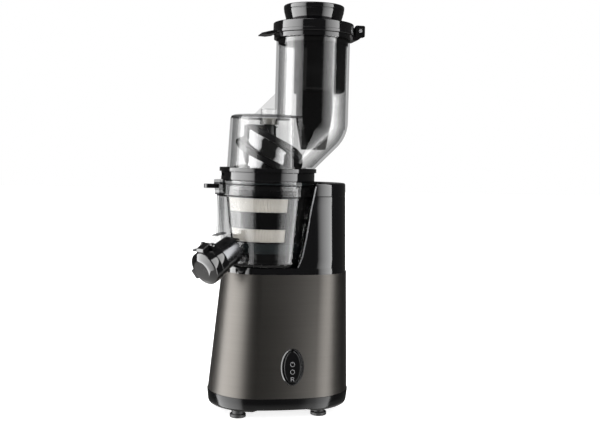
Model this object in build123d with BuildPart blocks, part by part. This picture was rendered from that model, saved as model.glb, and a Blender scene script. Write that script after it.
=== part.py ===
"""Cold press juicer: motor base, clear drum with strainer and auger, hood with feed tube and pusher.

Everything is laid out about the drum axis: +X towards the housing column, -Y towards the switch, +Z up.
The finished pieces are then set down so that the origin lies on the table under the middle of the whole.
"""

import os
from math import acos, atan2, cos, pi, radians, sin, tan

from build123d import *

os.makedirs("parts", exist_ok=True)

# ---------------------------------------------------------------- driving dimensions, mm
middle = (8.75, -4.55)  # middle of the footprint, from the drum axis
total_height = 434.9
wall = 2.6  # moulded covers
press = 0.05  # clearance between pieces that stay together

# plans of the base: ovals of four tangent arcs, (height, centre x, half length, half depth, end radius)
skirt_low = (7.5, 16.6, 74.4, 52.2, 50.8)
skirt_high = (21.5, 16.6, 76.0, 53.8, 52.4)
sleeve_low = (21.5, 16.6, 75.2, 53.0, 51.6)
sleeve_high = (147.0, 20.7, 67.8, 42.0, 41.1)
cover_low = (147.0, 20.5, 67.2, 41.5, 40.8)
cover_high = (242.5, 19.7, 65.3, 42.4, 41.6)
sleeve_wall = 1.0

foot_radius = 8.4
foot_height = 3.6
foot_neck_radius = 6.6
foot_top = 7.4
feet_at = [(-31.0, -34.0), (54.0, -35.5), (-31.0, 34.0), (54.0, 35.5)]

shelf_top = 153.6
seam_height = 228.4
# round hollow of the column that the drum stands in: height, radius
recess_knots = [(153.6, 48.9), (165.0, 51.6), (185.0, 54.0), (216.0, 57.1), (242.5, 60.6)]
trim_width = 1.5

# drum
bowl_bottom_radius = 45.5
bowl_top_radius = 54.5
bowl_rim_bottom = 227.9
bowl_rim_step = 238.5
bowl_rim_top = 243.1
rim_radius = 56.7
rim_lip_radius = 57.7
bowl_wall = 2.4
opening_radius = 48.8  # the mouth that the lock ring drops into
mouth_bottom = 237.2
ring_bottom = 243.5
ring_top = 252.7
ring_radius = 50.2
hood_bottom = 256.7
flange_radius = 51.9
hood_low_radius = 44.2
hood_high_radius = 41.9
hood_top = 313.3
hood_wall = 3.0

# feed tube and its bend into the hood
tube_x = 46.2
tube_radius = 40.0
tube_wall = 3.0
tube_top = 401.9
bend_height = 309.0
bend_angle = 45.0

lid_bottom = 402.2
lid_top = 414.3
lid_radius = 44.0
lid_hole = 36.2
stem_radius = 35.7
stem_flat = 13.8  # flat face to tube axis
stem_bottom = 340.0
tongue_bottom = 278.0
tongue_half_width = 16.0

# strainer and auger
strainer_bottom = 157.1
strainer_top = 233.0
strainer_wall = 2.0
window_bands = {"lower_mesh": (179.9, 193.4), "upper_mesh": (211.1, 225.5)}
window_half_angle = 54.5
window_turns = (242.0, 2.0, 122.0)
auger_bottom = 162.4
auger_shoulder = 279.0
flight_top = 302.5
auger_top = 309.4
auger_radius = 37.0  # above the strainer
auger_crown_radius = 31.5
auger_lead = 104.0
auger_starts = 4
auger_turn = -28.5  # heading of the first flight at the auger's foot
flight_half_angle = 24.0
auger_pin_radius = 6.0

# outlets
juice_heading = 216.0  # degrees about +Z
juice_fall = 25.0
juice_radius = 14.5
juice_start = 46.5
juice_height = 174.0
spout_length = 36.4
juice_cap_radius = 17.8
pulp_heading = 155.0
pulp_width = 26.0
pulp_top_radius, pulp_low_radius = 55.4, 78.5
pulp_top, pulp_bottom = 184.0, 164.5

# drive train
motor_teeth = 12
first_wheel_teeth = 60
second_pinion_teeth = 12
output_teeth = 52
first_module = 0.8
second_module = 1.25
second_xy = (second_module * (second_pinion_teeth + output_teeth) / 2, 0.0)
motor_xy = (second_xy[0] - first_module * (motor_teeth + first_wheel_teeth) / 2, 0.0)
motor_shaft_radius = 3.0
axle_radius = 3.0
output_shaft_radius = 5.95
bearing_radius = 13.0
hex_flat = 14.0

# switch and cord gland
switch_x = 22.0
switch_z = 53.3
bezel_half = (12.15, 18.75)
rocker_half = (9.0, 16.5)
gland_z = 38.0


def save(built, name):
    """Label one finished piece, set it down about the middle of the footprint and write it."""
    built.part.label = name
    export_step(built.part.moved(Location((-middle[0], -middle[1], 0))), f"parts/{name}.step")


def between(low, high, height):
    """The oval plan part way up between two given plans."""
    share = (height - low[0]) / (high[0] - low[0])
    return (height,) + tuple(a + (b - a) * share for a, b in zip(low[1:], high[1:]))


def oval(plan, inset=0.0):
    """One face: an oval of four tangent arcs, lying at its own height."""
    height, centre, half_length, half_depth, end_radius = plan
    length, depth, end = half_length - inset, half_depth - inset, end_radius - inset
    side = ((length - end) ** 2 + depth**2 - end**2) / (2 * (depth - end))
    meet_x = (length - end) * side / (side - end)
    meet_y = end * (side - depth) / (side - end)
    with BuildSketch(Plane.XY.offset(height)) as made:
        with BuildLine():
            ThreePointArc((centre - meet_x, meet_y), (centre, depth), (centre + meet_x, meet_y))
            ThreePointArc((centre + meet_x, meet_y), (centre + length, 0), (centre + meet_x, -meet_y))
            ThreePointArc((centre + meet_x, -meet_y), (centre, -depth), (centre - meet_x, -meet_y))
            ThreePointArc((centre - meet_x, -meet_y), (centre - length, 0), (centre - meet_x, meet_y))
        make_face()
    return made.sketch


def ring(inner, outer, low, high, centre=(0, 0), mode=Mode.ADD):
    """A plain tube about a vertical axis; an inner radius of 0 gives a disc."""
    with BuildSketch(Plane.XY.offset(low)) as made:
        with Locations(centre):
            Circle(outer)
            if inner > 0:
                Circle(inner, mode=Mode.SUBTRACT)
    extrude(made.sketch, amount=high - low, mode=mode)


def turned(points, centre_x=0.0, mode=Mode.ADD):
    """A solid of revolution about a vertical axis from (radius, height) points."""
    with BuildSketch(Plane.XZ) as made:
        with BuildLine():
            Polyline([(centre_x + r, z) for r, z in points], close=True)
        make_face()
    revolve(made.sketch, axis=Axis((centre_x, 0, 0), (0, 0, 1)), mode=mode)


def polar(direction, distance, centre=(0, 0)):
    """A point at a heading and distance from a vertical axis."""
    return (
        centre[0] + distance * cos(radians(direction)),
        centre[1] + distance * sin(radians(direction)),
    )


# ---------------------------------------------------------------- motor base
tray_floor_low, tray_floor_high = 9.0, 11.0
with BuildPart() as tray:
    loft([oval(skirt_low), oval(skirt_high)])
    fillet(tray.faces().sort_by(Axis.Z)[0].edges(), 2.4)
    # upstand that locates the sleeve
    loft([oval(between(sleeve_low, sleeve_high, 21.0), 1.4), oval(between(sleeve_low, sleeve_high, 29.0), 1.4)])
    loft(
        [
            oval(between(sleeve_low, sleeve_high, tray_floor_high), 3.6),
            oval(between(sleeve_low, sleeve_high, 30.0), 3.6),
        ],
        mode=Mode.SUBTRACT,
    )
    # round seat under the motor and the two rails that hold the board
    ring(30.0, 32.0, tray_floor_low, 20.0, motor_xy)
    with BuildSketch(Plane.XY.offset(tray_floor_low)) as rails:
        with Locations((63.5, -21.5), (63.5, 21.5)):
            Rectangle(4.6, 4.0)
    extrude(rails.sketch, amount=80.0)
    for spot in feet_at:
        ring(0, 9.4, foot_top, 10.0, spot)
    for spot in feet_at:
        ring(0, 2.0, foot_top - 1, 13.0, spot, Mode.SUBTRACT)
    with BuildSketch(Plane.XY.offset(6.0)) as floor_vents:
        with Locations(motor_xy):
            with PolarLocations(20.0, 10):
                SlotOverall(13.0, 4.0)
    extrude(floor_vents.sketch, amount=6.0, mode=Mode.SUBTRACT)
save(tray, "base_tray")

with BuildPart() as feet:
    for spot in feet_at:
        ring(0, foot_radius, 0, foot_height, spot)
    fillet(feet.edges().filter_by(GeomType.CIRCLE), 0.8)
    for spot in feet_at:
        ring(0, foot_neck_radius, foot_height - 0.5, foot_top - 0.05, spot)
    for spot in feet_at:
        ring(0, 3.6, -1, 2.4, spot, Mode.SUBTRACT)
        ring(0, 1.8, 0, foot_top, spot, Mode.SUBTRACT)
save(feet, "rubber_feet")

with BuildPart() as foot_screws:
    for spot in feet_at:
        ring(0, 3.3, 1.2, 2.35, spot)
        ring(0, 1.7, 1.2, 14.0, spot)
save(foot_screws, "foot_screws")

sleeve_lean = atan2(sleeve_low[3] - sleeve_high[3], sleeve_high[0] - sleeve_low[0])


def face_plane(x, height, side):
    """A plane on the sleeve's front (-1) or back (1), with its normal outwards."""
    _, centre, length, depth, end = between(sleeve_low, sleeve_high, height)
    arc = ((length - end) ** 2 + depth**2 - end**2) / (2 * (depth - end))
    y = (arc**2 - (x - centre) ** 2) ** 0.5 - (arc - depth)
    return Plane(
        origin=(x, side * y, height),
        x_dir=(-side, 0, 0),
        z_dir=(0, side * cos(sleeve_lean), sin(sleeve_lean)),
    )


switch_plane = face_plane(switch_x, switch_z, -1)
gland_plane = face_plane(between(sleeve_low, sleeve_high, gland_z)[1], gland_z, 1)

with BuildPart() as sleeve:
    loft([oval(sleeve_low), oval(sleeve_high)])
    loft([oval(sleeve_low, sleeve_wall), oval(sleeve_high, sleeve_wall)], mode=Mode.SUBTRACT)
    with BuildSketch(switch_plane.offset(-4.0)) as switch_hole:
        Ellipse(bezel_half[0] + 0.1, bezel_half[1] + 0.1)
    extrude(switch_hole.sketch, amount=8.0, mode=Mode.SUBTRACT)
    with BuildSketch(gland_plane.offset(-4.0)) as cord_hole:
        Circle(5.6)
    extrude(cord_hole.sketch, amount=8.0, mode=Mode.SUBTRACT)
save(sleeve, "motor_sleeve")

with BuildPart() as gland:
    with BuildSketch(gland_plane.offset(0.15)) as gland_flange:
        Circle(8.0)
    extrude(gland_flange.sketch, amount=2.4)
    fillet(gland.faces().filter_by(GeomType.PLANE).sort_by(Axis.Y)[-1].edges(), 0.8)
    with BuildSketch(gland_plane.offset(-7.0)) as gland_neck:
        Circle(5.5)
    extrude(gland_neck.sketch, amount=7.2)
    with BuildSketch(gland_plane.offset(-8.0)) as gland_bore:
        Circle(3.6)
    extrude(gland_bore.sketch, amount=12.0, mode=Mode.SUBTRACT)
save(gland, "cord_gland")

# ---------------------------------------------------------------- upper cover with the drum recess
shaft_hole = 8.2


def recess_radius(height):
    """Radius of the drum recess at a height, straight between its knots and beyond its ends."""
    steps = list(zip(recess_knots, recess_knots[1:]))
    (low, low_radius), (high, high_radius) = next((step for step in steps if height <= step[1][0]), steps[-1])
    return low_radius + (high_radius - low_radius) * (height - low) / (high - low)


def recess_cone(low, high, grow, mode):
    """The drum recess, grown sideways."""
    heights = [low] + [height for height, _ in recess_knots if low < height < high] + [high]
    turned([(0, low)] + [(recess_radius(z) + grow, z) for z in heights] + [(0, high)], mode=mode)


def column_block(low, high, inset, grow):
    """The column as a solid between two heights, its outside inset and its recess grown."""
    with BuildPart() as made:
        loft([oval(between(cover_low, cover_high, level), inset) for level in (low, high)])
        recess_cone(low - 1, high + 1, grow, Mode.SUBTRACT)
    return made.part


# a bright strip along both edges where the recess meets the outside
trim_low, trim_high = shelf_top + 0.8, cover_high[0] - 3.2


def corner_strip(low, high, proud, width):
    """The material along the column's two edges, standing proud and reaching a width inwards."""
    block = column_block(low, high, -proud, -proud)
    behind_recess = column_block(low - 1, high + 1, -3, width)
    behind_face = column_block(low - 1, high + 1, width, -3)
    with BuildPart() as made:
        add(block)
        add(behind_recess, mode=Mode.SUBTRACT)
        add(behind_face, mode=Mode.SUBTRACT)
    return made.part


trim_rebate = corner_strip(trim_low - 0.1, trim_high + 0.1, 1.0, trim_width + 0.1)
trim_strips = corner_strip(trim_low, trim_high, 0, trim_width)
with BuildPart() as trim:
    add(trim_strips)
save(trim, "column_trim")

with BuildPart() as column_hollow:
    loft([oval(cover_low, wall), oval(between(cover_low, cover_high, seam_height), wall)])
    recess_cone(shelf_top - wall, seam_height + 1, wall, Mode.SUBTRACT)

with BuildPart() as cover:
    loft([oval(cover_low), oval(between(cover_low, cover_high, seam_height))])
    recess_cone(shelf_top, seam_height + 1, 0, Mode.SUBTRACT)
    add(column_hollow.part, mode=Mode.SUBTRACT)
    add(trim_rebate, mode=Mode.SUBTRACT)
    ring(0, shaft_hole, cover_low[0] - 1, shelf_top + 1, mode=Mode.SUBTRACT)
    # keys on the shelf that hold the drum's foot
    for turn in (60, 180, 300):
        ring(0, 3.0, shelf_top - 0.1, shelf_top + 2.0, polar(turn, 27.0))
save(cover, "upper_cover")

cap_hollow = column_block(seam_height - 1, cover_high[0] - wall, wall, wall)
with BuildPart() as column_cap:
    loft([oval(between(cover_low, cover_high, seam_height + 0.35)), oval(cover_high)])
    fillet(column_cap.faces().sort_by(Axis.Z)[-1].edges(), 1.8)
    recess_cone(seam_height, cover_high[0] + 1, 0, Mode.SUBTRACT)
    add(cap_hollow, mode=Mode.SUBTRACT)
    add(trim_rebate, mode=Mode.SUBTRACT)
save(column_cap, "column_cap")

# ---------------------------------------------------------------- switch
switch_depth = 12.0
rocker_pivot = switch_plane.offset(-4.0).origin


def switch_bar(half_length, radius, mode=Mode.ADD):
    """A round bar through the rocker's pivot line."""
    with BuildSketch(Plane(origin=(switch_x, rocker_pivot.Y, rocker_pivot.Z), z_dir=(1, 0, 0))) as made:
        Circle(radius)
    extrude(made.sketch, amount=half_length, both=True, mode=mode)


with BuildPart() as bezel:
    with BuildSketch(switch_plane.offset(-1.9)) as bezel_outline:
        Ellipse(*bezel_half)
        Ellipse(rocker_half[0] + 0.6, rocker_half[1] + 0.9, mode=Mode.SUBTRACT)
    extrude(bezel_outline.sketch, amount=3.4)
    chamfer(bezel.faces().filter_by(GeomType.PLANE).sort_by(Axis.Y)[0].edges(), 0.6)
save(bezel, "switch_bezel")

with BuildPart() as rocker:
    with BuildSketch(switch_plane.offset(-6.0)) as rocker_outline:
        Ellipse(*rocker_half)
    extrude(rocker_outline.sketch, amount=7.0)
    fillet(rocker.faces().filter_by(GeomType.PLANE).sort_by(Axis.Y)[0].edges(), 0.8)
    switch_bar(12.0, 1.26, Mode.SUBTRACT)
save(rocker, "switch_rocker")

with BuildPart() as switch_body:
    with BuildSketch(switch_plane.offset(-switch_depth)) as switch_box:
        RectangleRounded(21.8, 36.8, 2.0)
    extrude(switch_box.sketch, amount=switch_depth - 2.2)
    with BuildSketch(switch_plane.offset(-9.6)) as switch_room:
        RectangleRounded(19.4, 34.6, 1.5)
    extrude(switch_room.sketch, amount=12.0, mode=Mode.SUBTRACT)
    switch_bar(12.0, 1.22, Mode.SUBTRACT)
save(switch_body, "switch_body")

with BuildPart() as rocker_pin:
    switch_bar(10.6, 1.2)
save(rocker_pin, "rocker_pin")

with BuildPart() as terminals:
    with BuildSketch(switch_plane.offset(-switch_depth - 5.0)) as terminal_blades:
        with GridLocations(0, 9.0, 1, 3):
            Rectangle(6.3, 0.8)
    extrude(terminal_blades.sketch, amount=4.98)
save(terminals, "switch_terminals")

# ---------------------------------------------------------------- motor
stack_low, stack_high = 44.0, 84.0
stator_radius = 30.0
shield_radius = 32.0
tie_spots = [polar(turn, 27.7, motor_xy) for turn in (45, 135, 225, 315)]
with BuildPart() as stator:
    ring(16.4, stator_radius, stack_low, stack_high, motor_xy)
    with BuildSketch(Plane.XY.offset(stack_low)) as stator_slots:
        with Locations(motor_xy):
            with PolarLocations(20.0, 12):
                SlotOverall(6.4, 3.0)
    extrude(stator_slots.sketch, amount=stack_high - stack_low, mode=Mode.SUBTRACT)
    for spot in tie_spots:
        ring(0, 1.8, stack_low - 1, stack_high + 1, spot, Mode.SUBTRACT)
save(stator, "motor_stator")

with BuildPart() as windings:
    ring(17.4, 25.6, stack_low - 8.0, stack_low, motor_xy)
    ring(17.4, 25.6, stack_high, stack_high + 8.0, motor_xy)
    fillet(windings.edges().filter_by(GeomType.CIRCLE), 2.4)
save(windings, "stator_windings")

with BuildPart() as rotor_core:
    ring(motor_shaft_radius + 0.01, 15.9, stack_low + 1, stack_high - 1, motor_xy)
save(rotor_core, "rotor_core")

motor_pinion_top = 118.2
with BuildPart() as rotor_shaft:
    ring(0, motor_shaft_radius, 19.4, motor_pinion_top + 0.4, motor_xy)
    chamfer(rotor_shaft.edges().filter_by(GeomType.CIRCLE), 0.4)
save(rotor_shaft, "rotor_shaft")

fan_low = 26.0
with BuildPart() as fan:
    ring(motor_shaft_radius + 0.01, 8.0, fan_low, fan_low + 7.0, motor_xy)
    ring(7.5, 24.0, fan_low, fan_low + 1.4, motor_xy)
    for turn in range(0, 360, 40):
        blade_plane = Plane(
            origin=(*polar(turn, 15.6, motor_xy), fan_low + 1.2),
            x_dir=(cos(radians(turn + 20)), sin(radians(turn + 20)), 0),
            z_dir=(0, 0, 1),
        )
        with BuildSketch(blade_plane) as blade_outline:
            Rectangle(15.0, 1.4)
        extrude(blade_outline.sketch, amount=5.8)
save(fan, "cooling_fan")

shields = {
    "lower_end_shield": (20.0, 24.0, 24.0, stack_low),
    "upper_end_shield": (100.0, 104.0, stack_high, 100.0),
}
for shield_name, (low, high, rim_low, rim_high) in shields.items():
    with BuildPart() as shield:
        ring(8.05, shield_radius, low, high, motor_xy)
        ring(stator_radius + press, shield_radius, rim_low, rim_high, motor_xy)
        with BuildSketch(Plane.XY.offset(low)) as shield_vents:
            with Locations(motor_xy):
                with PolarLocations(17.0, 8):
                    SlotOverall(11.0, 4.6)
        extrude(shield_vents.sketch, amount=high - low, mode=Mode.SUBTRACT)
        for spot in tie_spots:
            ring(0, 1.8, low - 1, high + 1, spot, Mode.SUBTRACT)
    save(shield, shield_name)

with BuildPart() as motor_bearings:
    for low in (20.2, 100.2):
        ring(motor_shaft_radius + 0.03, 8.0, low, low + 3.6, motor_xy)
save(motor_bearings, "motor_bearings")

with BuildPart() as tie_screws:
    for spot in tie_spots:
        ring(0, 1.7, 19.0, 106.4, spot)
        ring(0, 2.2, 18.2, 20.0, spot)
save(tie_screws, "motor_tie_screws")

# ---------------------------------------------------------------- gears
def gear_outline(teeth, module, phase, centre):
    """Spur gear outline: short involute teeth, each flank two straight facets."""
    pitch = module * teeth / 2
    base = pitch * cos(radians(20))
    root = pitch - 1.05 * module
    tip = pitch + 0.8 * module
    backlash = 0.2
    middle = max(base, pitch - 0.15 * module)

    def half_angle(radius):
        pressure = acos(min(1.0, base / max(radius, base)))
        involute = tan(pressure) - pressure
        at_pitch = tan(radians(20)) - radians(20)
        return pi / (2 * teeth) - backlash / (2 * pitch) + at_pitch - involute

    points = []
    for tooth in range(teeth):
        middle_line = radians(phase) + tooth * 2 * pi / teeth
        for side, radii in ((-1, (root, middle, tip)), (1, (tip, middle, root))):
            for radius in radii:
                turn = middle_line + side * half_angle(radius)
                points.append((centre[0] + radius * cos(turn), centre[1] + radius * sin(turn)))
    return points


def gear(teeth, module, phase, centre, low, high, bore):
    """A spur gear with its bore, standing on a height."""
    with BuildSketch(Plane.XY.offset(low)) as made:
        with BuildLine():
            Polyline(gear_outline(teeth, module, phase, centre), close=True)
        make_face()
        with Locations(centre):
            Circle(bore, mode=Mode.SUBTRACT)
    extrude(made.sketch, amount=high - low)


first_low, first_high = 110.6, 117.4
second_low, second_high = 123.0, 135.0
bridge_low, bridge_high = 119.4, 121.4
box_low, box_high = 104.0, 140.0
box_wall = 2.4
coupling_low, coupling_high = 156.4, 178.0
coupling_bore = 4.01
shaft_step = 174.0

with BuildPart() as motor_pinion:
    gear(motor_teeth, first_module, 0, motor_xy, 109.6, motor_pinion_top, motor_shaft_radius + 0.01)
save(motor_pinion, "motor_pinion")

with BuildPart() as first_wheel:
    phase = 180 + 180 / first_wheel_teeth
    gear(first_wheel_teeth, first_module, phase, second_xy, first_low, first_high, axle_radius + 2.0)
    with BuildSketch(Plane.XY.offset(first_low - 1)) as lightening:
        with Locations(second_xy):
            with PolarLocations(14.0, 6):
                Circle(4.4)
    extrude(lightening.sketch, amount=10, mode=Mode.SUBTRACT)
save(first_wheel, "first_stage_wheel")

with BuildPart() as second_pinion:
    pinion_top = second_high + 1
    gear(second_pinion_teeth, second_module, 180, second_xy, first_high, pinion_top, axle_radius + 0.06)
    ring(axle_radius + 0.06, axle_radius + 1.99, first_low, first_high, second_xy)
save(second_pinion, "second_stage_pinion")

with BuildPart() as output_gear:
    phase = 180 / output_teeth
    gear(output_teeth, second_module, phase, (0, 0), second_low, second_high, output_shaft_radius + 0.02)
    ring(12.0, 28.0, second_low - 1, second_low + 3.5, mode=Mode.SUBTRACT)
    ring(12.0, 28.0, second_high - 3.5, second_high + 1, mode=Mode.SUBTRACT)
save(output_gear, "output_gear")

with BuildPart() as stage_axle:
    ring(0, axle_radius, 105.0, 142.0, second_xy)
    chamfer(stage_axle.edges().filter_by(GeomType.CIRCLE), 0.4)
save(stage_axle, "stage_axle")

with BuildPart() as output_shaft:
    ring(0, output_shaft_radius, bridge_low, coupling_low)
    ring(0, coupling_bore - 0.01, coupling_low, shaft_step)
save(output_shaft, "output_shaft")

with BuildPart() as coupling:
    with BuildSketch(Plane.XY.offset(coupling_low)) as hex_outline:
        RegularPolygon(hex_flat / 2, 6, major_radius=False)
    extrude(hex_outline.sketch, amount=coupling_high - coupling_low)
    chamfer(coupling.faces().sort_by(Axis.Z)[-1].edges(), 1.0)
    ring(0, coupling_bore, coupling_low - 1, shaft_step, mode=Mode.SUBTRACT)
save(coupling, "drive_coupling")

# ---------------------------------------------------------------- gearbox
gearbox_ears = [(-40.0, 0.0), (56.0, 27.5), (56.0, -27.5)]


def gearbox_plan(grow, height, ears=False):
    """The gearbox outline: a hull round the two wheels, with or without its screw ears."""
    with BuildSketch(Plane.XY.offset(height)) as made:
        Circle(37.2 + grow)
        with Locations(second_xy):
            Circle(28.0 + grow)
        make_hull()
        if ears:
            with Locations(*gearbox_ears):
                Circle(4.4)
    return made.sketch


with BuildPart() as gearbox_tub:
    extrude(gearbox_plan(0, box_low), amount=box_high - box_low)
    extrude(gearbox_plan(0, box_high - 12, ears=True), amount=12)
    extrude(gearbox_plan(-box_wall, box_low + 3.0), amount=box_high, mode=Mode.SUBTRACT)
    ring(0, motor_shaft_radius + 1.0, box_low - 1, box_low + 6, motor_xy, Mode.SUBTRACT)
    ring(0, axle_radius + 0.02, box_low - 1, box_low + 6, second_xy, Mode.SUBTRACT)
    for spot in gearbox_ears:
        ring(0, 1.55, box_high - 11, box_high + 1, spot, Mode.SUBTRACT)
    for spot in tie_spots:
        ring(0, 1.75, box_low - 1, box_low + 2.6, spot, Mode.SUBTRACT)
save(gearbox_tub, "gearbox_tub")

with BuildPart() as bridge:
    extrude(gearbox_plan(-box_wall - press, bridge_low), amount=bridge_high - bridge_low)
    ring(0, output_shaft_radius + 0.04, bridge_low - 1, bridge_high + 1, mode=Mode.SUBTRACT)
    ring(0, 9.4, bridge_low - 1, bridge_high + 1, second_xy, Mode.SUBTRACT)
save(bridge, "gearbox_bridge")

with BuildPart() as gearbox_lid:
    extrude(gearbox_plan(0, box_high, ears=True), amount=3.0)
    ring(bearing_radius + press, bearing_radius + 3.0, box_high, box_high + 7.6)
    ring(0, bearing_radius + press, box_high - 1, box_high + 9, mode=Mode.SUBTRACT)
    ring(0, axle_radius + 0.02, box_high - 1, box_high + 2.4, second_xy, Mode.SUBTRACT)
    for spot in gearbox_ears:
        ring(0, 1.6, box_high - 1, box_high + 4, spot, Mode.SUBTRACT)
save(gearbox_lid, "gearbox_lid")

with BuildPart() as gearbox_screws:
    for spot in gearbox_ears:
        ring(0, 1.5, box_high - 9, box_high + 3, spot)
        ring(0, 2.9, box_high + 3, box_high + 5, spot)
save(gearbox_screws, "gearbox_screws")

with BuildPart() as output_bearing:
    ring(9.9, bearing_radius, box_high + 0.2, box_high + 6.2)
    ring(output_shaft_radius + 0.03, 8.6, box_high + 0.2, box_high + 6.2)
    ring(8.5, 10.0, box_high + 2.2, box_high + 4.2)
save(output_bearing, "output_bearing")

with BuildPart() as shaft_seal:
    ring(output_shaft_radius + 0.08, shaft_hole - press, shelf_top - wall, shelf_top)
save(shaft_seal, "shaft_seal")

with BuildPart() as board:
    with BuildSketch(Plane.YZ.offset(66.0)) as board_outline:
        with Locations((0, 66.0)):
            RectangleRounded(48.0, 44.0, 1.5)
            with GridLocations(40.0, 36.0, 2, 2):
                Circle(1.7, mode=Mode.SUBTRACT)
    extrude(board_outline.sketch, amount=1.6)
save(board, "control_board")

# each block on the board: middle across, middle height, width, height, depth
board_blocks = {
    "relay": (-12, 58, 14, 12, 12),
    "choke": (10, 72, 10, 14, 10),
    "fuse": (12, 54, 12, 6, 8),
}
with BuildPart() as board_parts:
    for y, z, wide, tall, deep in board_blocks.values():
        with BuildSketch(Plane.YZ.offset(67.6)) as block:
            with Locations((y, z)):
                RectangleRounded(wide, tall, 1.0)
        extrude(block.sketch, amount=deep)
save(board_parts, "board_components")

# ---------------------------------------------------------------- clear bowl with its outlets
bowl_rise = (bowl_top_radius - bowl_bottom_radius) / (bowl_rim_bottom - shelf_top)
floor_top = shelf_top + 3.2
room_top_radius = 52.0
lug_turns = (45, 135, 225, 315)
lug_width = 11.0
unlock_turn = 35


def bowl_radius(height):
    """Outer radius of the bowl's cone at a height."""
    return bowl_bottom_radius + bowl_rise * (height - shelf_top)


def heading_plane(direction, radius, height, fall):
    """A plane across an outlet: its normal heads outwards and down."""
    out = polar(direction, 1)
    return Plane(
        origin=(radius * out[0], radius * out[1], height),
        x_dir=(-out[1], out[0], 0),
        z_dir=(out[0] * cos(radians(fall)), out[1] * cos(radians(fall)), -sin(radians(fall))),
    )


def juice_plane(along):
    """A plane across the juice spout, a distance along its axis from the bowl's wall."""
    return heading_plane(
        juice_heading,
        juice_start + along * cos(radians(juice_fall)),
        juice_height - along * sin(radians(juice_fall)),
        juice_fall,
    )


pulp_out = polar(pulp_heading, 1)
pulp_side_plane = Plane(
    origin=(0, 0, 0),
    x_dir=(pulp_out[0], pulp_out[1], 0),
    z_dir=(pulp_out[1], -pulp_out[0], 0),
)


def pulp_chute(inset):
    """The pulp chute as a side profile pushed across its width; its slanting end stays open."""
    with BuildSketch(pulp_side_plane) as made:
        with BuildLine():
            Polyline(
                [
                    (40.0, pulp_top - inset),
                    (pulp_top_radius + inset * 1.6, pulp_top - inset),
                    (pulp_low_radius + inset * 0.6, pulp_bottom + 2.6 + inset),
                    (pulp_low_radius + inset * 0.6, pulp_bottom + inset),
                    (40.0, pulp_bottom + inset),
                ],
                close=True,
            )
        make_face()
    extrude(made.sketch, amount=pulp_width / 2 - inset, both=True)


def duct(inset, low, high):
    """The upright pulp duct down one side of the bowl, a sector of a cylinder."""
    half = 13.0 - inset * 1.1
    with BuildSketch(Plane.XY.offset(low)) as made:
        Circle(bowl_top_radius - inset)
        with Locations(Location((0, 0, 0), (0, 0, 1), pulp_heading)):
            with Locations((40, 0)):
                Rectangle(80, 2 * half, mode=Mode.INTERSECT)
    extrude(made.sketch, amount=high - low)


with BuildPart() as pulp_room:
    pulp_chute(2.2)
    duct(2.2, pulp_bottom + 2.2, bowl_rim_bottom - 2.4)

with BuildPart() as bowl_room:
    turned(
        [
            (0, floor_top),
            (bowl_radius(floor_top) - bowl_wall, floor_top),
            (bowl_radius(bowl_rim_bottom) - bowl_wall, bowl_rim_bottom),
            (room_top_radius, bowl_rim_bottom + 1.0),
            (room_top_radius, mouth_bottom),
            (opening_radius, mouth_bottom),
            (opening_radius, bowl_rim_top + 1),
            (0, bowl_rim_top + 1),
        ]
    )
    # gaps in the mouth that let the lugs of the lock ring through
    with BuildSketch(Plane.XY.offset(mouth_bottom - 1)) as lug_gaps:
        with PolarLocations(48.8, 4, start_angle=lug_turns[0] + unlock_turn):
            Rectangle(5.0, lug_width + 2.0)
    extrude(lug_gaps.sketch, amount=10)

with BuildPart() as bowl:
    turned(
        [
            (0, shelf_top),
            (bowl_bottom_radius - 4.0, shelf_top),
            (bowl_bottom_radius - 1.2, shelf_top + 1.0),
            (bowl_radius(shelf_top + 4.0), shelf_top + 4.0),
            (bowl_top_radius, bowl_rim_bottom),
            (rim_radius, bowl_rim_bottom),
            (rim_radius, bowl_rim_step),
            (rim_lip_radius, bowl_rim_step),
            (rim_lip_radius, bowl_rim_top),
            (0, bowl_rim_top),
        ]
    )
    duct(0, pulp_bottom, bowl_rim_bottom)
    pulp_chute(0)
    with BuildSketch(juice_plane(-16.0)) as spout_round:
        Circle(juice_radius)
    extrude(spout_round.sketch, amount=16.0 + spout_length)
    add(bowl_room.part, mode=Mode.SUBTRACT)
    add(pulp_room.part, mode=Mode.SUBTRACT)
    with BuildSketch(juice_plane(-18.0)) as spout_bore:
        Circle(juice_radius - 2.2)
    extrude(spout_bore.sketch, amount=19.0 + spout_length, mode=Mode.SUBTRACT)
    # foot sockets for the keys of the shelf, and the drive opening in its raised collar
    for turn in (60, 180, 300):
        ring(0, 3.3, shelf_top - 1, shelf_top + 2.4, polar(turn, 27.0), Mode.SUBTRACT)
    ring(11.0, 13.4, floor_top - 0.2, floor_top + 4.0)
    ring(0, 11.0, shelf_top - 1, floor_top + 5, mode=Mode.SUBTRACT)
    # a flat tab on the rim for the fingers
    with BuildSketch(Plane.XY.offset(234.5)) as finger_tab:
        with Locations((-60.5, 0)):
            SlotOverall(16.0, 9.0)
        Circle(rim_radius - 1, mode=Mode.SUBTRACT)
    extrude(finger_tab.sketch, amount=4.0)
save(bowl, "clear_bowl")

with BuildPart() as bowl_seal:
    ring(8.9, 11.0 - press, shelf_top + 0.3, floor_top + 3.6)
save(bowl_seal, "drum_seal")

# ---------------------------------------------------------------- juice cap with its hinge
cap_low = spout_length + 0.4
cap_pivot_rise = 20.0
cap_pivot_along = spout_length - 4.0
collar_length = 9.6
pivot_plane = juice_plane(cap_pivot_along)
pivot_across = Vector(*pivot_plane.x_dir)
pivot_up = Vector(*pivot_plane.y_dir)
if pivot_up.Z < 0:
    pivot_up = pivot_up * -1
pivot_centre = Vector(*pivot_plane.origin) + pivot_up * cap_pivot_rise


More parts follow.
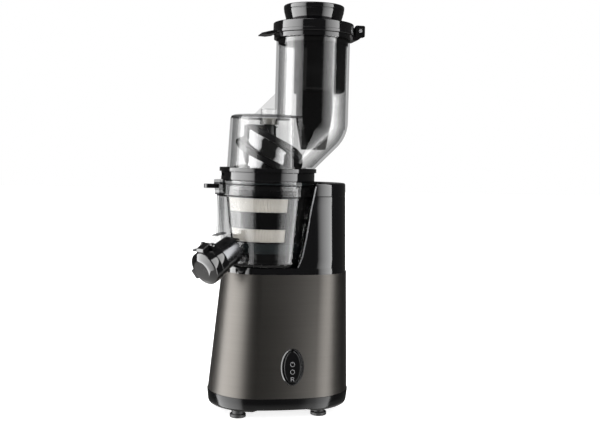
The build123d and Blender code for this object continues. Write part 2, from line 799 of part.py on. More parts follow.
def pivot_bar(start, end, radius, mode=Mode.ADD):
    """A round bar on the cap's hinge line, from one distance across to another."""
    with BuildSketch(Plane(origin=pivot_centre + pivot_across * start, z_dir=pivot_across)) as made:
        Circle(radius)
    extrude(made.sketch, amount=end - start, mode=mode)


with BuildPart() as spout_collar:
    with BuildSketch(juice_plane(spout_length - collar_length)) as collar_round:
        Circle(juice_radius + 2.2)
        Circle(juice_radius + press, mode=Mode.SUBTRACT)
    extrude(collar_round.sketch, amount=collar_length - 0.2)
    for side in (-1, 1):
        ear_plane = Plane(
            origin=pivot_centre + pivot_across * (side * 7.0 - 1.5),
            x_dir=pivot_plane.z_dir,
            z_dir=pivot_across,
        )
        with BuildSketch(ear_plane) as ear:
            Circle(2.6)
            with Locations((0, -2.6 if ear_plane.y_dir.Z > 0 else 2.6)):
                Rectangle(5.2, 5.2)
        extrude(ear.sketch, amount=3.0)
    pivot_bar(-9.0, 9.0, 1.03, Mode.SUBTRACT)
    with BuildSketch(juice_plane(spout_length - collar_length - 1)) as collar_clear:
        Circle(juice_radius + press)
    extrude(collar_clear.sketch, amount=12.0, mode=Mode.SUBTRACT)
save(spout_collar, "spout_collar")

with BuildPart() as cap_pin:
    pivot_bar(-8.9, 8.9, 1.0)
save(cap_pin, "cap_hinge_pin")

with BuildPart() as juice_cap:
    with BuildSketch(juice_plane(cap_low)) as cap_outline:
        Circle(juice_cap_radius)
    extrude(cap_outline.sketch, amount=9.0)
    with BuildSketch(juice_plane(cap_low + 8.9)) as dome_low:
        Circle(juice_cap_radius)
    with BuildSketch(juice_plane(cap_low + 13.0)) as dome_high:
        Circle(juice_cap_radius * 0.62)
    loft([dome_low.sketch, dome_high.sketch])
    with BuildSketch(juice_plane(cap_low - 1)) as cap_room:
        Circle(juice_cap_radius - 2.4)
    extrude(cap_room.sketch, amount=6.0, mode=Mode.SUBTRACT)
    # thumb tab, low on the left
    with BuildSketch(juice_plane(cap_low + 3.0)) as thumb_tab:
        with PolarLocations(juice_cap_radius + 1.5, 1, start_angle=205):
            RectangleRounded(9.0, 11.0, 2.0)
        Circle(juice_cap_radius - 1.6, mode=Mode.SUBTRACT)
    extrude(thumb_tab.sketch, amount=4.5)
    # hinge lever on top
    lever_plane = Plane(
        origin=pivot_centre + pivot_across * -5.0,
        x_dir=pivot_plane.z_dir,
        z_dir=pivot_across,
    )
    down = -1 if lever_plane.y_dir.Z > 0 else 1
    with BuildSketch(lever_plane) as lever:
        Circle(2.5)
        with BuildLine():
            Polyline(
                [
                    (0, 2.5 * -down),
                    (11.0, 1.6 * -down),
                    (12.0, 4.2 * down),
                    (4.8, 4.2 * down),
                    (4.8, 2.5 * down),
                    (0, 2.5 * down),
                ],
                close=True,
            )
        make_face()
    extrude(lever.sketch, amount=10.0)
    pivot_bar(-6.0, 6.0, 1.06, Mode.SUBTRACT)
save(juice_cap, "juice_cap")

with BuildPart() as cap_gasket:
    with BuildSketch(juice_plane(cap_low + 2.6)) as gasket_round:
        Circle(juice_cap_radius - 2.5)
    extrude(gasket_round.sketch, amount=2.4)
save(cap_gasket, "cap_gasket")

# ---------------------------------------------------------------- strainer
def strainer_radius(height):
    """Outer radius of the strainer's frame at a height."""
    return 39.8 + 0.1265 * (height - 196.0)


def cone_band(low, high, outer, inner, arc=360.0):
    """A band of the strainer's cone between two offsets from its outside, from the +X side round."""
    with BuildSketch(Plane.XZ) as made:
        with BuildLine():
            Polyline(
                [
                    (strainer_radius(low) + inner, low),
                    (strainer_radius(low) + outer, low),
                    (strainer_radius(high) + outer, high),
                    (strainer_radius(high) + inner, high),
                ],
                close=True,
            )
        make_face()
    revolve(made.sketch, axis=Axis.Z, revolution_arc=arc)


meshes = {}
for mesh_name, (low, high) in window_bands.items():
    with BuildPart() as mesh:
        cone_band(low - 1.4, high + 1.4, -0.8, -1.6)
    save(mesh, mesh_name)
    meshes[mesh_name] = mesh.part

windows = []
for low, high in window_bands.values():
    with BuildPart() as window:
        cone_band(low, high, 2.0, -4.0, 2 * window_half_angle)
    windows += [window.part.rotate(Axis.Z, turn - window_half_angle) for turn in window_turns]

with BuildPart() as strainer:
    cone_band(strainer_bottom, strainer_top, 0, -strainer_wall)
    # top flange that centres in the bowl's mouth, foot ring, and two low beads
    ring(strainer_radius(strainer_top) - 1.5, 48.3, strainer_top - 2.6, strainer_top)
    ring(17.5, strainer_radius(strainer_bottom) - 1.0, strainer_bottom, strainer_bottom + 2.2)
    cone_band(197.2, 198.6, 0.8, -1.0)
    cone_band(165.6, 167.4, 1.5, -1.0)
    for opening in windows:
        add(opening, mode=Mode.SUBTRACT)
    for mesh_part in meshes.values():
        add(mesh_part, mode=Mode.SUBTRACT)
save(strainer, "strainer_frame")

with BuildPart() as silicone:
    cone_band(167.8, 178.2, 1.5, press)
save(silicone, "silicone_sleeve")

# ---------------------------------------------------------------- auger
socket_top = 181.0


def auger_limit(height):
    """Largest radius of the auger inside the strainer."""
    return strainer_radius(height) - strainer_wall - 1.0


def flight_run(low, high, envelope):
    """The flights between two heights, twisting left-handed, cut to an envelope of (radius, height) points."""
    turn = auger_turn - 360.0 * (low - auger_bottom) / auger_lead
    with BuildSketch(Plane.XY.offset(low)) as section:
        Circle(9.0)
        with PolarLocations(0, auger_starts, start_angle=turn):
            Polygon((0, 0), polar(-flight_half_angle, 50), polar(flight_half_angle, 50), align=None)
    twisted = Solid.extrude_linear_with_rotation(
        section.sketch.face(),
        center=(0, 0, low),
        normal=(0, 0, high - low),
        angle=-360.0 * (high - low) / auger_lead,
    )
    with BuildPart() as made:
        add(twisted)
        turned([(0, low)] + envelope + [(0, high)], mode=Mode.INTERSECT)
    return made.part


flight_middle = 228.0
lower_flights = flight_run(
    auger_bottom,
    flight_middle,
    [(auger_limit(auger_bottom), auger_bottom), (auger_limit(222), 222.0), (auger_radius, flight_middle)],
)
upper_flights = flight_run(
    flight_middle,
    flight_top,
    [(auger_radius, flight_middle), (auger_radius, auger_shoulder), (auger_crown_radius, flight_top)],
)

with BuildPart() as auger:
    # core, a cone that leaves less and less room downwards, and the pin on top
    turned(
        [
            (0, auger_bottom - 1.0),
            (10.4, auger_bottom - 1.0),
            (10.4, auger_bottom),
            (auger_limit(auger_bottom) - 4.0, auger_bottom),
            (auger_limit(200) - 5.0, 200.0),
            (27.0, 226.0),
            (15.0, 268.0),
            (12.0, flight_top),
            (auger_pin_radius, flight_top),
            (auger_pin_radius, auger_top - 1.0),
            (auger_pin_radius - 1.0, auger_top),
            (0, auger_top),
        ]
    )
    add(lower_flights)
    add(upper_flights)
    with BuildSketch(Plane.XY.offset(auger_bottom - 2)) as socket:
        RegularPolygon(hex_flat / 2 + 0.25, 6, major_radius=False)
    extrude(socket.sketch, amount=socket_top - auger_bottom + 2, mode=Mode.SUBTRACT)
save(auger, "auger")

# ---------------------------------------------------------------- hood with feed tube
tube_xy = (tube_x, 0)
bend_axis = Axis((tube_x, 0, bend_height), (0, 1, 0))


def feed_passage(radius, low):
    """Upright tube, round bend and slanting chute of one radius; the chute stays below the tube."""
    drop = radians(bend_angle)
    chute_plane = Plane(
        origin=(tube_x, 0, bend_height),
        x_dir=(0, 1, 0),
        z_dir=(-sin(drop), 0, -cos(drop)),
    )
    with BuildPart() as passage:
        ring(0, radius, low, bend_height, tube_xy)
        with BuildSketch(chute_plane) as chute_round:
            Circle(radius)
        extrude(chute_round.sketch, amount=110, mode=Mode.INTERSECT)
        with BuildSketch(Plane.XY.offset(bend_height)) as bend_section:
            with Locations(tube_xy):
                Circle(radius)
            with Locations((tube_x - 60, 0)):
                Rectangle(120, 120, mode=Mode.SUBTRACT)
        revolve(bend_section.sketch, axis=bend_axis, revolution_arc=bend_angle)
        ring(0, radius, bend_height, tube_top, tube_xy)
    return passage.part


tube_inner = tube_radius - tube_wall
bush_radius = 8.4
bush_depth = 9.6
passage_outside = feed_passage(tube_radius, hood_bottom)
passage_inside = feed_passage(tube_inner, hood_bottom + 1.6)

with BuildPart() as hood_room:
    turned(
        [
            (0, ring_top - 1),
            (hood_low_radius - hood_wall, ring_top - 1),
            (hood_high_radius - hood_wall, hood_top - hood_wall),
            (0, hood_top - hood_wall),
        ]
    )
    add(passage_inside)

with BuildPart() as hood:
    turned(
        [
            (0, hood_bottom),
            (hood_low_radius, hood_bottom),
            (hood_high_radius, hood_top - 4.0),
            (hood_high_radius - 1.2, hood_top - 1.2),
            (hood_high_radius - 4.0, hood_top),
            (0, hood_top),
        ]
    )
    add(passage_outside)
    ring(0, flange_radius, ring_top, hood_bottom)
    add(hood_room.part, mode=Mode.SUBTRACT)
    # boss over the auger's pin, inside and out
    ring(0, 9.7, hood_top - 0.5, hood_top + 7.0)
    ring(bush_radius + press, 10.2, hood_top - bush_depth, hood_top - 2.0)
    ring(0, tube_inner, hood_top - 13.0, hood_top + 8.0, tube_xy, Mode.SUBTRACT)
    # web that stiffens tube and hood
    tube_left = tube_x - tube_radius + 0.8
    with BuildSketch(Plane.XZ) as web:
        with BuildLine():
            Polyline(
                [(-18.0, hood_top - 0.5), (tube_left, 338.5), (tube_left, hood_top - 0.5)],
                close=True,
            )
        make_face()
    extrude(web.sketch, amount=1.2, both=True)
    ring(0, tube_inner, 380, tube_top + 1, tube_xy, Mode.SUBTRACT)
    ring(0, tube_inner + 1.0, 391.0, tube_top + 1, tube_xy, Mode.SUBTRACT)
save(hood, "clear_hood")

with BuildPart() as pin_bush:
    ring(auger_pin_radius + 0.05, bush_radius, hood_top - bush_depth, hood_top - hood_wall - 0.1)
    ring(0, tube_inner, hood_top - 20, hood_top, tube_xy, Mode.SUBTRACT)
save(pin_bush, "auger_pin_bush")

lug_low, lug_high = 234.0, mouth_bottom - 0.4
with BuildPart() as lock_ring:
    ring(hood_low_radius - hood_wall, ring_radius, ring_bottom, ring_top)
    chamfer(lock_ring.edges().group_by(Axis.Z)[0].sort_by(SortBy.LENGTH)[-1:], 0.6)
    ring(45.6, 48.3, lug_low, ring_bottom)
    ring(47.5, 49.0, 239.6, 241.8, mode=Mode.SUBTRACT)
    # notches on both sides
    with BuildSketch(Plane.XY.offset(247.4)) as notches:
        with PolarLocations(50.2, 2):
            Rectangle(7.6, 24.0)
    extrude(notches.sketch, amount=3.4, mode=Mode.SUBTRACT)
    # lugs that turn in under the bowl's mouth
    with BuildSketch(Plane.XY.offset(lug_low)) as lugs:
        with PolarLocations(48.9, 4, start_angle=lug_turns[0]):
            Rectangle(3.2, lug_width)
    extrude(lugs.sketch, amount=lug_high - lug_low)
save(lock_ring, "lock_ring")

with BuildPart() as ring_seal:
    ring(47.55, 48.7, 239.8, 241.6)
save(ring_seal, "hood_seal")

# ---------------------------------------------------------------- lid on the feed tube
hinge_x = tube_x + 49.6
hinge_z = 408.3
knuckle_half = 6.5
cheek_inner, cheek_outer = 6.9, 12.6
with BuildPart() as lid:
    ring(lid_hole, lid_radius, lid_bottom, lid_top, tube_xy)
    chamfer(lid.faces().sort_by(Axis.Z)[-1].edges().sort_by(SortBy.LENGTH)[-1:], 1.0)
    ring(0, 39.3, lid_top - 2.7, lid_top + 1, tube_xy, Mode.SUBTRACT)
    ring(lid_hole, tube_inner + 0.7, lid_bottom - 10.0, lid_bottom, tube_xy)
    # lift tab, thinner to its tip
    with BuildSketch(Plane.XZ) as tab_side:
        with BuildLine():
            Polyline(
                [
                    (tube_x - 59.6, 399.6),
                    (tube_x - 58.8, 401.0),
                    (tube_x - 42.0, 405.4),
                    (tube_x - 42.0, lid_bottom),
                    (tube_x - 45.0, 400.4),
                    (tube_x - 52.0, 399.2),
                ],
                close=True,
            )
        make_face()
    extrude(tab_side.sketch, amount=10.5, both=True)
    # middle knuckle of the hinge
    with BuildSketch(Plane.XZ) as knuckle_side:
        with Locations((hinge_x, hinge_z)):
            Circle(4.5)
        with Locations((tube_x + 45.6, hinge_z)):
            Rectangle(7.0, 8.0)
    extrude(knuckle_side.sketch, amount=knuckle_half, both=True)
    with BuildSketch(Plane.XZ) as lid_bore:
        with Locations((hinge_x, hinge_z)):
            Circle(2.05)
    extrude(lid_bore.sketch, amount=20, both=True, mode=Mode.SUBTRACT)
save(lid, "feed_lid")

with BuildPart() as hinge_bracket:
    with BuildSketch(Plane.XZ) as cheek:
        with Locations((hinge_x - 0.2, 407.8)):
            RectangleRounded(10.4, 12.6, 1.6)
        with BuildLine():
            Polyline(
                [
                    (hinge_x - 4.6, 403.0),
                    (hinge_x + 3.0, 402.4),
                    (hinge_x - 3.6, 397.6),
                    (tube_x + 38.6, 397.6),
                    (tube_x + 38.6, 401.6),
                    (hinge_x - 5.2, 401.6),
                ],
                close=True,
            )
        make_face()
    extrude(cheek.sketch, amount=cheek_outer, both=True)
    with BuildSketch(Plane.XZ) as knuckle_gap:
        with Locations((hinge_x + 2.0, hinge_z + 2.0)):
            Rectangle(16.0, 18.0)
    extrude(knuckle_gap.sketch, amount=cheek_inner, both=True, mode=Mode.SUBTRACT)
    ring(0, lid_radius + 0.4, lid_bottom - 0.35, lid_top + 2, tube_xy, Mode.SUBTRACT)
    ring(tube_radius + press, 42.8, 397.0, 401.6, tube_xy)
    ring(0, tube_radius + press, 390.0, 403.0, tube_xy, Mode.SUBTRACT)
    with BuildSketch(Plane.XZ) as bracket_bore:
        with Locations((hinge_x, hinge_z)):
            Circle(2.02)
    extrude(bracket_bore.sketch, amount=20, both=True, mode=Mode.SUBTRACT)
save(hinge_bracket, "lid_hinge_bracket")

with BuildPart() as hinge_pin:
    with BuildSketch(Plane.XZ) as pin_end:
        with Locations((hinge_x, hinge_z)):
            Circle(2.0)
    extrude(pin_end.sketch, amount=13.0, both=True)
save(hinge_pin, "lid_hinge_pin")

# ---------------------------------------------------------------- pusher
cap_bottom = lid_top + 0.3
with BuildPart() as pusher_cap:
    turned(
        [
            (0, cap_bottom),
            (29.0, cap_bottom),
            (30.4, 419.6),
            (32.5, 427.6),
            (31.9, 428.0),
            (31.9, 428.7),
            (32.8, 429.1),
            (33.0, 432.4),
            (32.0, 433.8),
            (24.0, 434.5),
            (0, total_height),
        ],
        centre_x=tube_x,
    )
    turned(
        [(0, cap_bottom - 1), (26.2, cap_bottom - 1), (29.4, 427.0), (29.4, 431.6), (0, 431.6)],
        tube_x,
        Mode.SUBTRACT,
    )
save(pusher_cap, "pusher_cap")

flange_low, flange_high = lid_top - 2.4, lid_top
with BuildPart() as stem:
    ring(0, stem_radius, stem_bottom, flange_low, tube_xy)
    fillet(stem.edges().group_by(Axis.Z)[0], 4.0)
    with BuildSketch(Plane.XZ) as tongue_side:
        with BuildLine():
            Polyline(
                [
                    (tube_x - stem_flat, stem_bottom + 1),
                    (tube_x + 19.8, stem_bottom + 1),
                    (tube_x + 19.8, 316.0),
                    (tube_x + 13.0, tongue_bottom),
                    (tube_x - 7.4, tongue_bottom),
                    (tube_x - stem_flat, 312.0),
                ],
                close=True,
            )
        make_face()
    extrude(tongue_side.sketch, amount=tongue_half_width, both=True)
    with BuildSketch(Plane.XY.offset(tongue_bottom - 1)) as flat_cut:
        with Locations((tube_x - stem_flat - 30, 0)):
            Rectangle(60, 100)
    extrude(flat_cut.sketch, amount=200, mode=Mode.SUBTRACT)
    # hollow above, open under the cap
    with BuildSketch(Plane.XY.offset(stem_bottom + 4.4)) as stem_room:
        with Locations(tube_xy):
            Circle(stem_radius - 2.4)
        with Locations((tube_x - stem_flat + 2.4 - 30, 0)):
            Rectangle(60, 100, mode=Mode.SUBTRACT)
    extrude(stem_room.sketch, amount=100, mode=Mode.SUBTRACT)
    ring(25.8, 38.8, flange_low, flange_high, tube_xy)
    ring(25.8, 28.0, flange_low - 6.0, flange_low, tube_xy)
    ring(24.0, 25.9, flange_low - 6.0, 426.0, tube_xy)
save(stem, "pusher_stem")
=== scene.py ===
import math

import bmesh
import bpy
from mathutils import Matrix, Vector


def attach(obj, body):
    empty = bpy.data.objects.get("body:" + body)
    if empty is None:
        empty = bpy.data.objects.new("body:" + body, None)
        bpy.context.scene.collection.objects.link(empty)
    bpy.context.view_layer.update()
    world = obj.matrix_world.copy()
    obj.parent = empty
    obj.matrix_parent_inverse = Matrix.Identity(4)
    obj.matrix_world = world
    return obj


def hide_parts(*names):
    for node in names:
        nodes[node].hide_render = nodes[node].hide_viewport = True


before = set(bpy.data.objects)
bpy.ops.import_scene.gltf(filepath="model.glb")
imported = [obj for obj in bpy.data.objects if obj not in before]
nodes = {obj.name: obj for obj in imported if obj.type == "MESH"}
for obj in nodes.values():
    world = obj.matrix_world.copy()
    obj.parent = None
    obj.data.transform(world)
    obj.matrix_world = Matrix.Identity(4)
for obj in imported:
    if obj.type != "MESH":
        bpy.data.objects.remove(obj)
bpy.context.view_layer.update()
print("frame loaded", len(nodes), "nodes")

# lengths of the juicer are millimetres from the drum's axis, heights from the table, angles degrees
footprintMiddle = (8.75, -4.55)
tubeX = 46.2  # the feed tube's own axis


def at(x, y, z):
    return Vector((x - footprintMiddle[0], y - footprintMiddle[1], z)) * 0.001


drumAxis = at(0, 0, 0)


class Wire:
    # one output of a node, so that sums and products of outputs read as sums and products

    def __init__(self, tree, socket):
        self.tree = tree
        self.socket = socket

    def math(self, operation, *others):
        return nodeOf(self.tree, "Math", {"operation": operation}, self, *others)

    def __add__(self, other):
        return self.math("ADD", other)

    def __radd__(self, other):
        return self.math("ADD", other)

    def __sub__(self, other):
        return self.math("SUBTRACT", other)

    def __rsub__(self, other):
        return nodeOf(self.tree, "Math", {"operation": "SUBTRACT"}, other, self)

    def __mul__(self, other):
        return self.math("MULTIPLY", other)

    def __rmul__(self, other):
        return self.math("MULTIPLY", other)

    def __truediv__(self, other):
        return self.math("DIVIDE", other)

    def __rtruediv__(self, other):
        return nodeOf(self.tree, "Math", {"operation": "DIVIDE"}, other, self)

    def __pow__(self, other):
        return self.math("POWER", other)

    def ramp(self, low, high, outLow=0.0, outHigh=1.0):
        return nodeOf(
            self.tree, "MapRange", {"interpolation_type": "SMOOTHSTEP", "clamp": True},
            self, low, high, outLow, outHigh,
        )

    def between(self, first, second):
        # a colour mix, this output being the share of the second
        return nodeOf(
            self.tree, "Mix", {"data_type": "RGBA", "blend_type": "MIX"},
            Factor=self, A=first, B=second, output="Result",
        )


def nodeOf(tree, kind, settings=None, *inputs, output=None, **named):
    made = tree.nodes.new("ShaderNode" + kind)
    for key, value in (settings or {}).items():
        setattr(made, key, value)
    live = [socket for socket in made.inputs if socket.enabled]
    pairs = list(zip(live, inputs))
    for key, value in named.items():
        wanted = key.replace("_", " ")
        pairs.append((next(socket for socket in live if socket.name == wanted), value))
    for socket, value in pairs:
        if isinstance(value, Wire):
            tree.links.new(value.socket, socket)
        elif value is not None:
            if socket.type == "RGBA" and len(value) == 3:
                value = (*value, 1.0)
            socket.default_value = value
    outputs = [socket for socket in made.outputs if socket.enabled]
    if output:
        outputs = [socket for socket in outputs if socket.name == output]
    return Wire(tree, outputs[0]) if outputs else made


class Finish:
    # a material under construction: coordinates, textures and the final shader

    def __init__(self, name, previewColour):
        self.material = bpy.data.materials.new(name)
        self.material.use_nodes = True
        self.tree = self.material.node_tree
        self.tree.nodes.clear()
        self.material.diffuse_color = (*previewColour, 1.0)
        self.place = self.node("TexCoord", output="Object")
        split = self.tree.nodes.new("ShaderNodeSeparateXYZ")
        self.tree.links.new(self.place.socket, split.inputs[0])
        self.x, self.y, self.z = (Wire(self.tree, socket) for socket in split.outputs)

    def node(self, kind, settings=None, *inputs, output=None, **named):
        return nodeOf(self.tree, kind, settings, *inputs, output=output, **named)

    def stretched(self, x, y, z):
        return self.node("VectorMath", {"operation": "MULTIPLY"}, self.place, (x, y, z))

    def noise(self, scale, detail=3.0, roughness=0.5, along=None):
        return self.node(
            "TexNoise", None, output="Fac",
            Vector=along or self.place, Scale=scale, Detail=detail, Roughness=roughness,
        )

    def bump(self, height, strength, distance=0.0002):
        return self.node("Bump", None, output="Normal", Strength=strength, Distance=distance, Height=height)

    def turnsRoundDrum(self):
        across, along = self.x - drumAxis.x, self.y - drumAxis.y
        return self.node("Math", {"operation": "ARCTAN2"}, along, across) / (2 * math.pi)

    def fromDrum(self):
        # millimetres from the drum's axis
        return ((self.x - drumAxis.x) ** 2.0 + (self.y - drumAxis.y) ** 2.0) ** 0.5 * 1000

    def principled(self, **sockets):
        shader = self.tree.nodes.new("ShaderNodeBsdfPrincipled")
        for key, value in sockets.items():
            socket = shader.inputs[key.replace("_", " ")]
            if isinstance(value, Wire):
                self.tree.links.new(value.socket, socket)
            else:
                if socket.type == "RGBA" and len(value) == 3:
                    value = (*value, 1.0)
                socket.default_value = value
        return Wire(self.tree, shader.outputs[0])

    def done(self, shader):
        out = self.tree.nodes.new("ShaderNodeOutputMaterial")
        self.tree.links.new(shader.socket, out.inputs["Surface"])
        return self.material


def polishedPlastic(name, colour, roughness=0.05, wear=1.0, shine=0.5):
    # a moulded gloss: faint haze, smudges, a little dust and a slow waviness
    finish = Finish(name, colour)
    haze = finish.noise(38.0, 4.0, 0.6)
    smudge = finish.noise(9.0, 2.0, 0.5).ramp(0.52, 0.72)
    dust = finish.noise(900.0, 2.0).ramp(0.70, 0.78)
    waviness = finish.noise(26.0, 1.0)
    dusty = tuple(min(1.0, share * 1.6 + 0.002) for share in colour)
    return finish.done(finish.principled(
        Base_Color=(haze * 0.35 + dust * 0.25 * wear).between(colour, dusty),
        Roughness=haze * (0.02 * wear) + smudge * (0.05 * wear) + dust * 0.12 + roughness,
        Normal=finish.bump(waviness, 0.04, 0.0004),
        IOR=1.5,
        Specular_IOR_Level=shine,
    ))


def satinPlastic(name, colour, roughness=0.36, grain=1800.0, shine=0.5):
    finish = Finish(name, colour)
    grains = finish.noise(grain, 2.0, 0.6)
    cloud = finish.noise(30.0, 3.0)
    return finish.done(finish.principled(
        Base_Color=cloud.between(colour, tuple(share * 1.5 for share in colour)),
        Roughness=cloud * 0.08 + roughness,
        Normal=finish.bump(grains, 0.14, 0.00004),
        IOR=1.5,
        Specular_IOR_Level=shine,
    ))


def machinedMetal(name, colour, roughness=0.3, lines=600.0):
    # turning marks run round the upright axis
    finish = Finish(name, colour)
    rings = finish.noise(lines, 3.0, 0.5, finish.stretched(0.02, 0.02, 1.0))
    stain = finish.noise(45.0, 3.0)
    return finish.done(finish.principled(
        Base_Color=stain.between(tuple(share * 0.85 for share in colour), colour),
        Metallic=1.0,
        Roughness=rings * 0.12 + roughness,
        Normal=finish.bump(rings, 0.08, 0.00005),
    ))


print("materials")
gloss = polishedPlastic("polishedBlack", (0.0035, 0.0035, 0.004))
innerGloss = polishedPlastic("innerBlack", (0.0022, 0.0022, 0.0025), 0.05, 0.6, 0.18)
satinBlack = satinPlastic("satinBlack", (0.0035, 0.0035, 0.0037), 0.11, 1800.0, 0.2)
rubber = satinPlastic("footRubber", (0.009, 0.009, 0.0095), 0.5, 900.0, 0.35)
silicone = satinPlastic("tealSilicone", (0.0045, 0.009, 0.010), 0.32, 500.0, 0.3)
acetal = satinPlastic("acetal", (0.72, 0.7, 0.64), 0.35)
printed = satinPlastic("printedMark", (0.22, 0.22, 0.225), 0.4, 700.0)
board = polishedPlastic("solderMask", (0.02, 0.16, 0.05), 0.25)
steel = machinedMetal("turnedSteel", (0.56, 0.56, 0.57), 0.25)
castMetal = machinedMetal("castMetal", (0.6, 0.6, 0.6), 0.45, 200.0)
brass = machinedMetal("stampedBrass", (0.72, 0.53, 0.22), 0.3)
lamination = machinedMetal("stackedSteel", (0.3, 0.3, 0.31), 0.4, 2400.0)
chrome = machinedMetal("platedTrim", (0.32, 0.32, 0.33), 0.2)
smoked = machinedMetal("smokedGloss", (0.085, 0.086, 0.09), 0.12, 260.0)

sleeveFinish = {
    "dark": (0.047, 0.044, 0.0405),
    "light": (0.063, 0.0595, 0.055),
    "roughness": 0.32,
}


def brushedSleeve(look):
    # warm dark metal: hairline brushing runs round the body and spreads reflections sideways a little
    finish = Finish("warmBrushedMetal", (0.27, 0.26, 0.245))
    hair = finish.noise(900.0, 4.0, 0.65, finish.stretched(0.02, 0.02, 1.0))
    coarse = finish.noise(220.0, 3.0, 0.6, finish.stretched(0.04, 0.04, 1.0))
    cloud = finish.noise(14.0, 3.0)
    return finish.done(finish.principled(
        Base_Color=(hair * 0.6 + coarse * 0.3 + cloud * 0.1).between(look["dark"], look["light"]),
        Metallic=1.0,
        Roughness=hair * 0.05 + cloud * 0.03 + look["roughness"],
        Normal=finish.bump(hair, 0.03, 0.00002),
        Anisotropic=0.3,
    ))


sleeveMetal = brushedSleeve(sleeveFinish)

augerFinish = {
    "crest": (0.003, 0.003, 0.0033),
    # painted highlight: the light grey given to the groove floors
    "paintedGrooveHighlight": (0.17, 0.17, 0.172),
    # distances from the drum's axis over which the painted groove highlight rises and falls
    "rises": (24.0, 26.4),
    "falls": (27.6, 29.5),
}


def augerResin(look):
    # dull crests; the groove floors are made glossier and metallic, and are painted light grey as a painted
    # highlight for the light seen between the flights
    finish = Finish("augerResin", (0.02, 0.02, 0.02))
    away = finish.fromDrum()
    paintedGrooveHighlight = away.ramp(*look["falls"], 1.0, 0.0) * away.ramp(*look["rises"])
    cloud = finish.noise(40.0, 3.0)
    return finish.done(finish.principled(
        Base_Color=paintedGrooveHighlight.between(look["crest"], look["paintedGrooveHighlight"]),
        Metallic=paintedGrooveHighlight,
        Roughness=(paintedGrooveHighlight * -0.2 + 0.26) + cloud * 0.05,
        IOR=1.5,
        Specular_IOR_Level=0.3,
        Normal=finish.bump(finish.noise(600.0, 2.0), 0.05, 0.00003),
    ))


augerBlack = augerResin(augerFinish)

clearFinish = {
    "body": (0.863, 0.863, 0.862),  # what one face lets through, seen straight on
    "haze": (0.5, 0.51, 0.52),
    # the painted shade given to the bands at the moulding's steps
    "step": (0.05, 0.05, 0.055),
    "mirrorRoughness": 0.035,
    "mirrorMost": 0.2,
    "mirrorShare": 0.3,
}


def clearPlastic(name, rim, steps, look):
    # clear moulded copolyester: greys towards its edges to the rim's tone, a painted shade for the dark
    # refracted edges, and mirrors the room
    finish = Finish(name, (0.8, 0.81, 0.82))
    facing = finish.node("LayerWeight", None, output="Facing", Blend=0.5)
    fresnel = finish.node("Fresnel", None, output="Fac", IOR=1.55)
    smear = finish.noise(16.0, 3.0, 0.6).ramp(0.52, 0.8)
    flow = finish.noise(7.0, 2.0, 0.5, finish.stretched(1.0, 1.0, 0.3))
    thin = nodeOf(finish.tree, "BsdfTransparent", None, Color=look["body"])
    # painted shade: the grey let through at glancing angles stands in for dark refracted edges
    thick = nodeOf(finish.tree, "BsdfTransparent", None, Color=rim)
    mirror = nodeOf(
        finish.tree, "BsdfAnisotropic", None,
        Color=(0.96, 0.96, 0.96), Roughness=look["mirrorRoughness"], Normal=finish.bump(flow, 0.05, 0.0006),
    )
    haze = nodeOf(finish.tree, "BsdfDiffuse", None, Color=look["haze"])
    seen = nodeOf(finish.tree, "MixShader", None, facing.ramp(0.26, 0.66) * 0.8, thin, thick)
    seen = nodeOf(finish.tree, "MixShader", None, smear * 0.008 + 0.002, seen, haze)
    # painted shade: dark bands where thick steps in the moulding show dark refracted edges from the side;
    # height, half height, least and most distance
    dark = nodeOf(finish.tree, "BsdfTransparent", None, Color=look["step"])
    away = finish.fromDrum()
    for height, half, least, most in steps:
        near = (finish.z * 1000 - height).math("ABSOLUTE").ramp(half, half + 0.5, 0.85, 0.0)
        near = near * away.math("GREATER_THAN", least) * away.math("LESS_THAN", most)
        seen = nodeOf(finish.tree, "MixShader", None, near, seen, dark)
    mirrored = fresnel.math("MINIMUM", look["mirrorMost"]) * look["mirrorShare"]
    return finish.done(nodeOf(finish.tree, "MixShader", None, mirrored, seen, mirror))


clearHood = clearPlastic("clearSmoke", (0.62, 0.622, 0.623), [(311.2, 0.9, 40.5, 44.0)], clearFinish)
clearBowl = clearPlastic("clearBowl", (0.6, 0.602, 0.603), [
    (227.4, 0.75, 45, 99),
    (239.3, 0.4, 45, 99),
    (156.2, 1.0, 43, 99),
    (183.4, 0.8, 51.5, 99),
    (165.5, 0.8, 56, 99),
], clearFinish)


def ribbedResin(ribs=150):
    # cream resin with fine upright ribs and slits between them; the slits are painted darker, a painted shade
    # for the gaps between the ribs
    finish = Finish("creamStrainer", (0.8, 0.76, 0.66))
    rib = finish.node("Math", {"operation": "SINE"}, finish.turnsRoundDrum() * (2 * math.pi * ribs))
    slitShade = rib.ramp(0.55, 0.95)
    speck = finish.noise(260.0, 3.0)
    return finish.done(finish.principled(
        # the darker colour is painted shade in the slits; the specks vary the tone at random
        Base_Color=(slitShade * 0.5 + speck * 0.14).between((0.92, 0.885, 0.82), (0.5, 0.46, 0.4)),
        Roughness=speck * 0.1 + 0.38,
        Normal=finish.bump(rib, 0.5, 0.0003),
    ))


cream = ribbedResin()


def woundCopper():
    finish = Finish("enamelledCopper", (0.55, 0.22, 0.09))
    strands = finish.node(
        "TexWave", {"bands_direction": "Z"}, output="Fac",
        Vector=finish.place, Scale=420.0, Distortion=1.5,
    )
    return finish.done(finish.principled(
        Base_Color=strands.between((0.28, 0.09, 0.03), (0.62, 0.26, 0.10)),
        Metallic=0.6,
        Roughness=strands * 0.1 + 0.22,
        Normal=finish.bump(strands, 0.6, 0.0002),
    ))


copper = woundCopper()

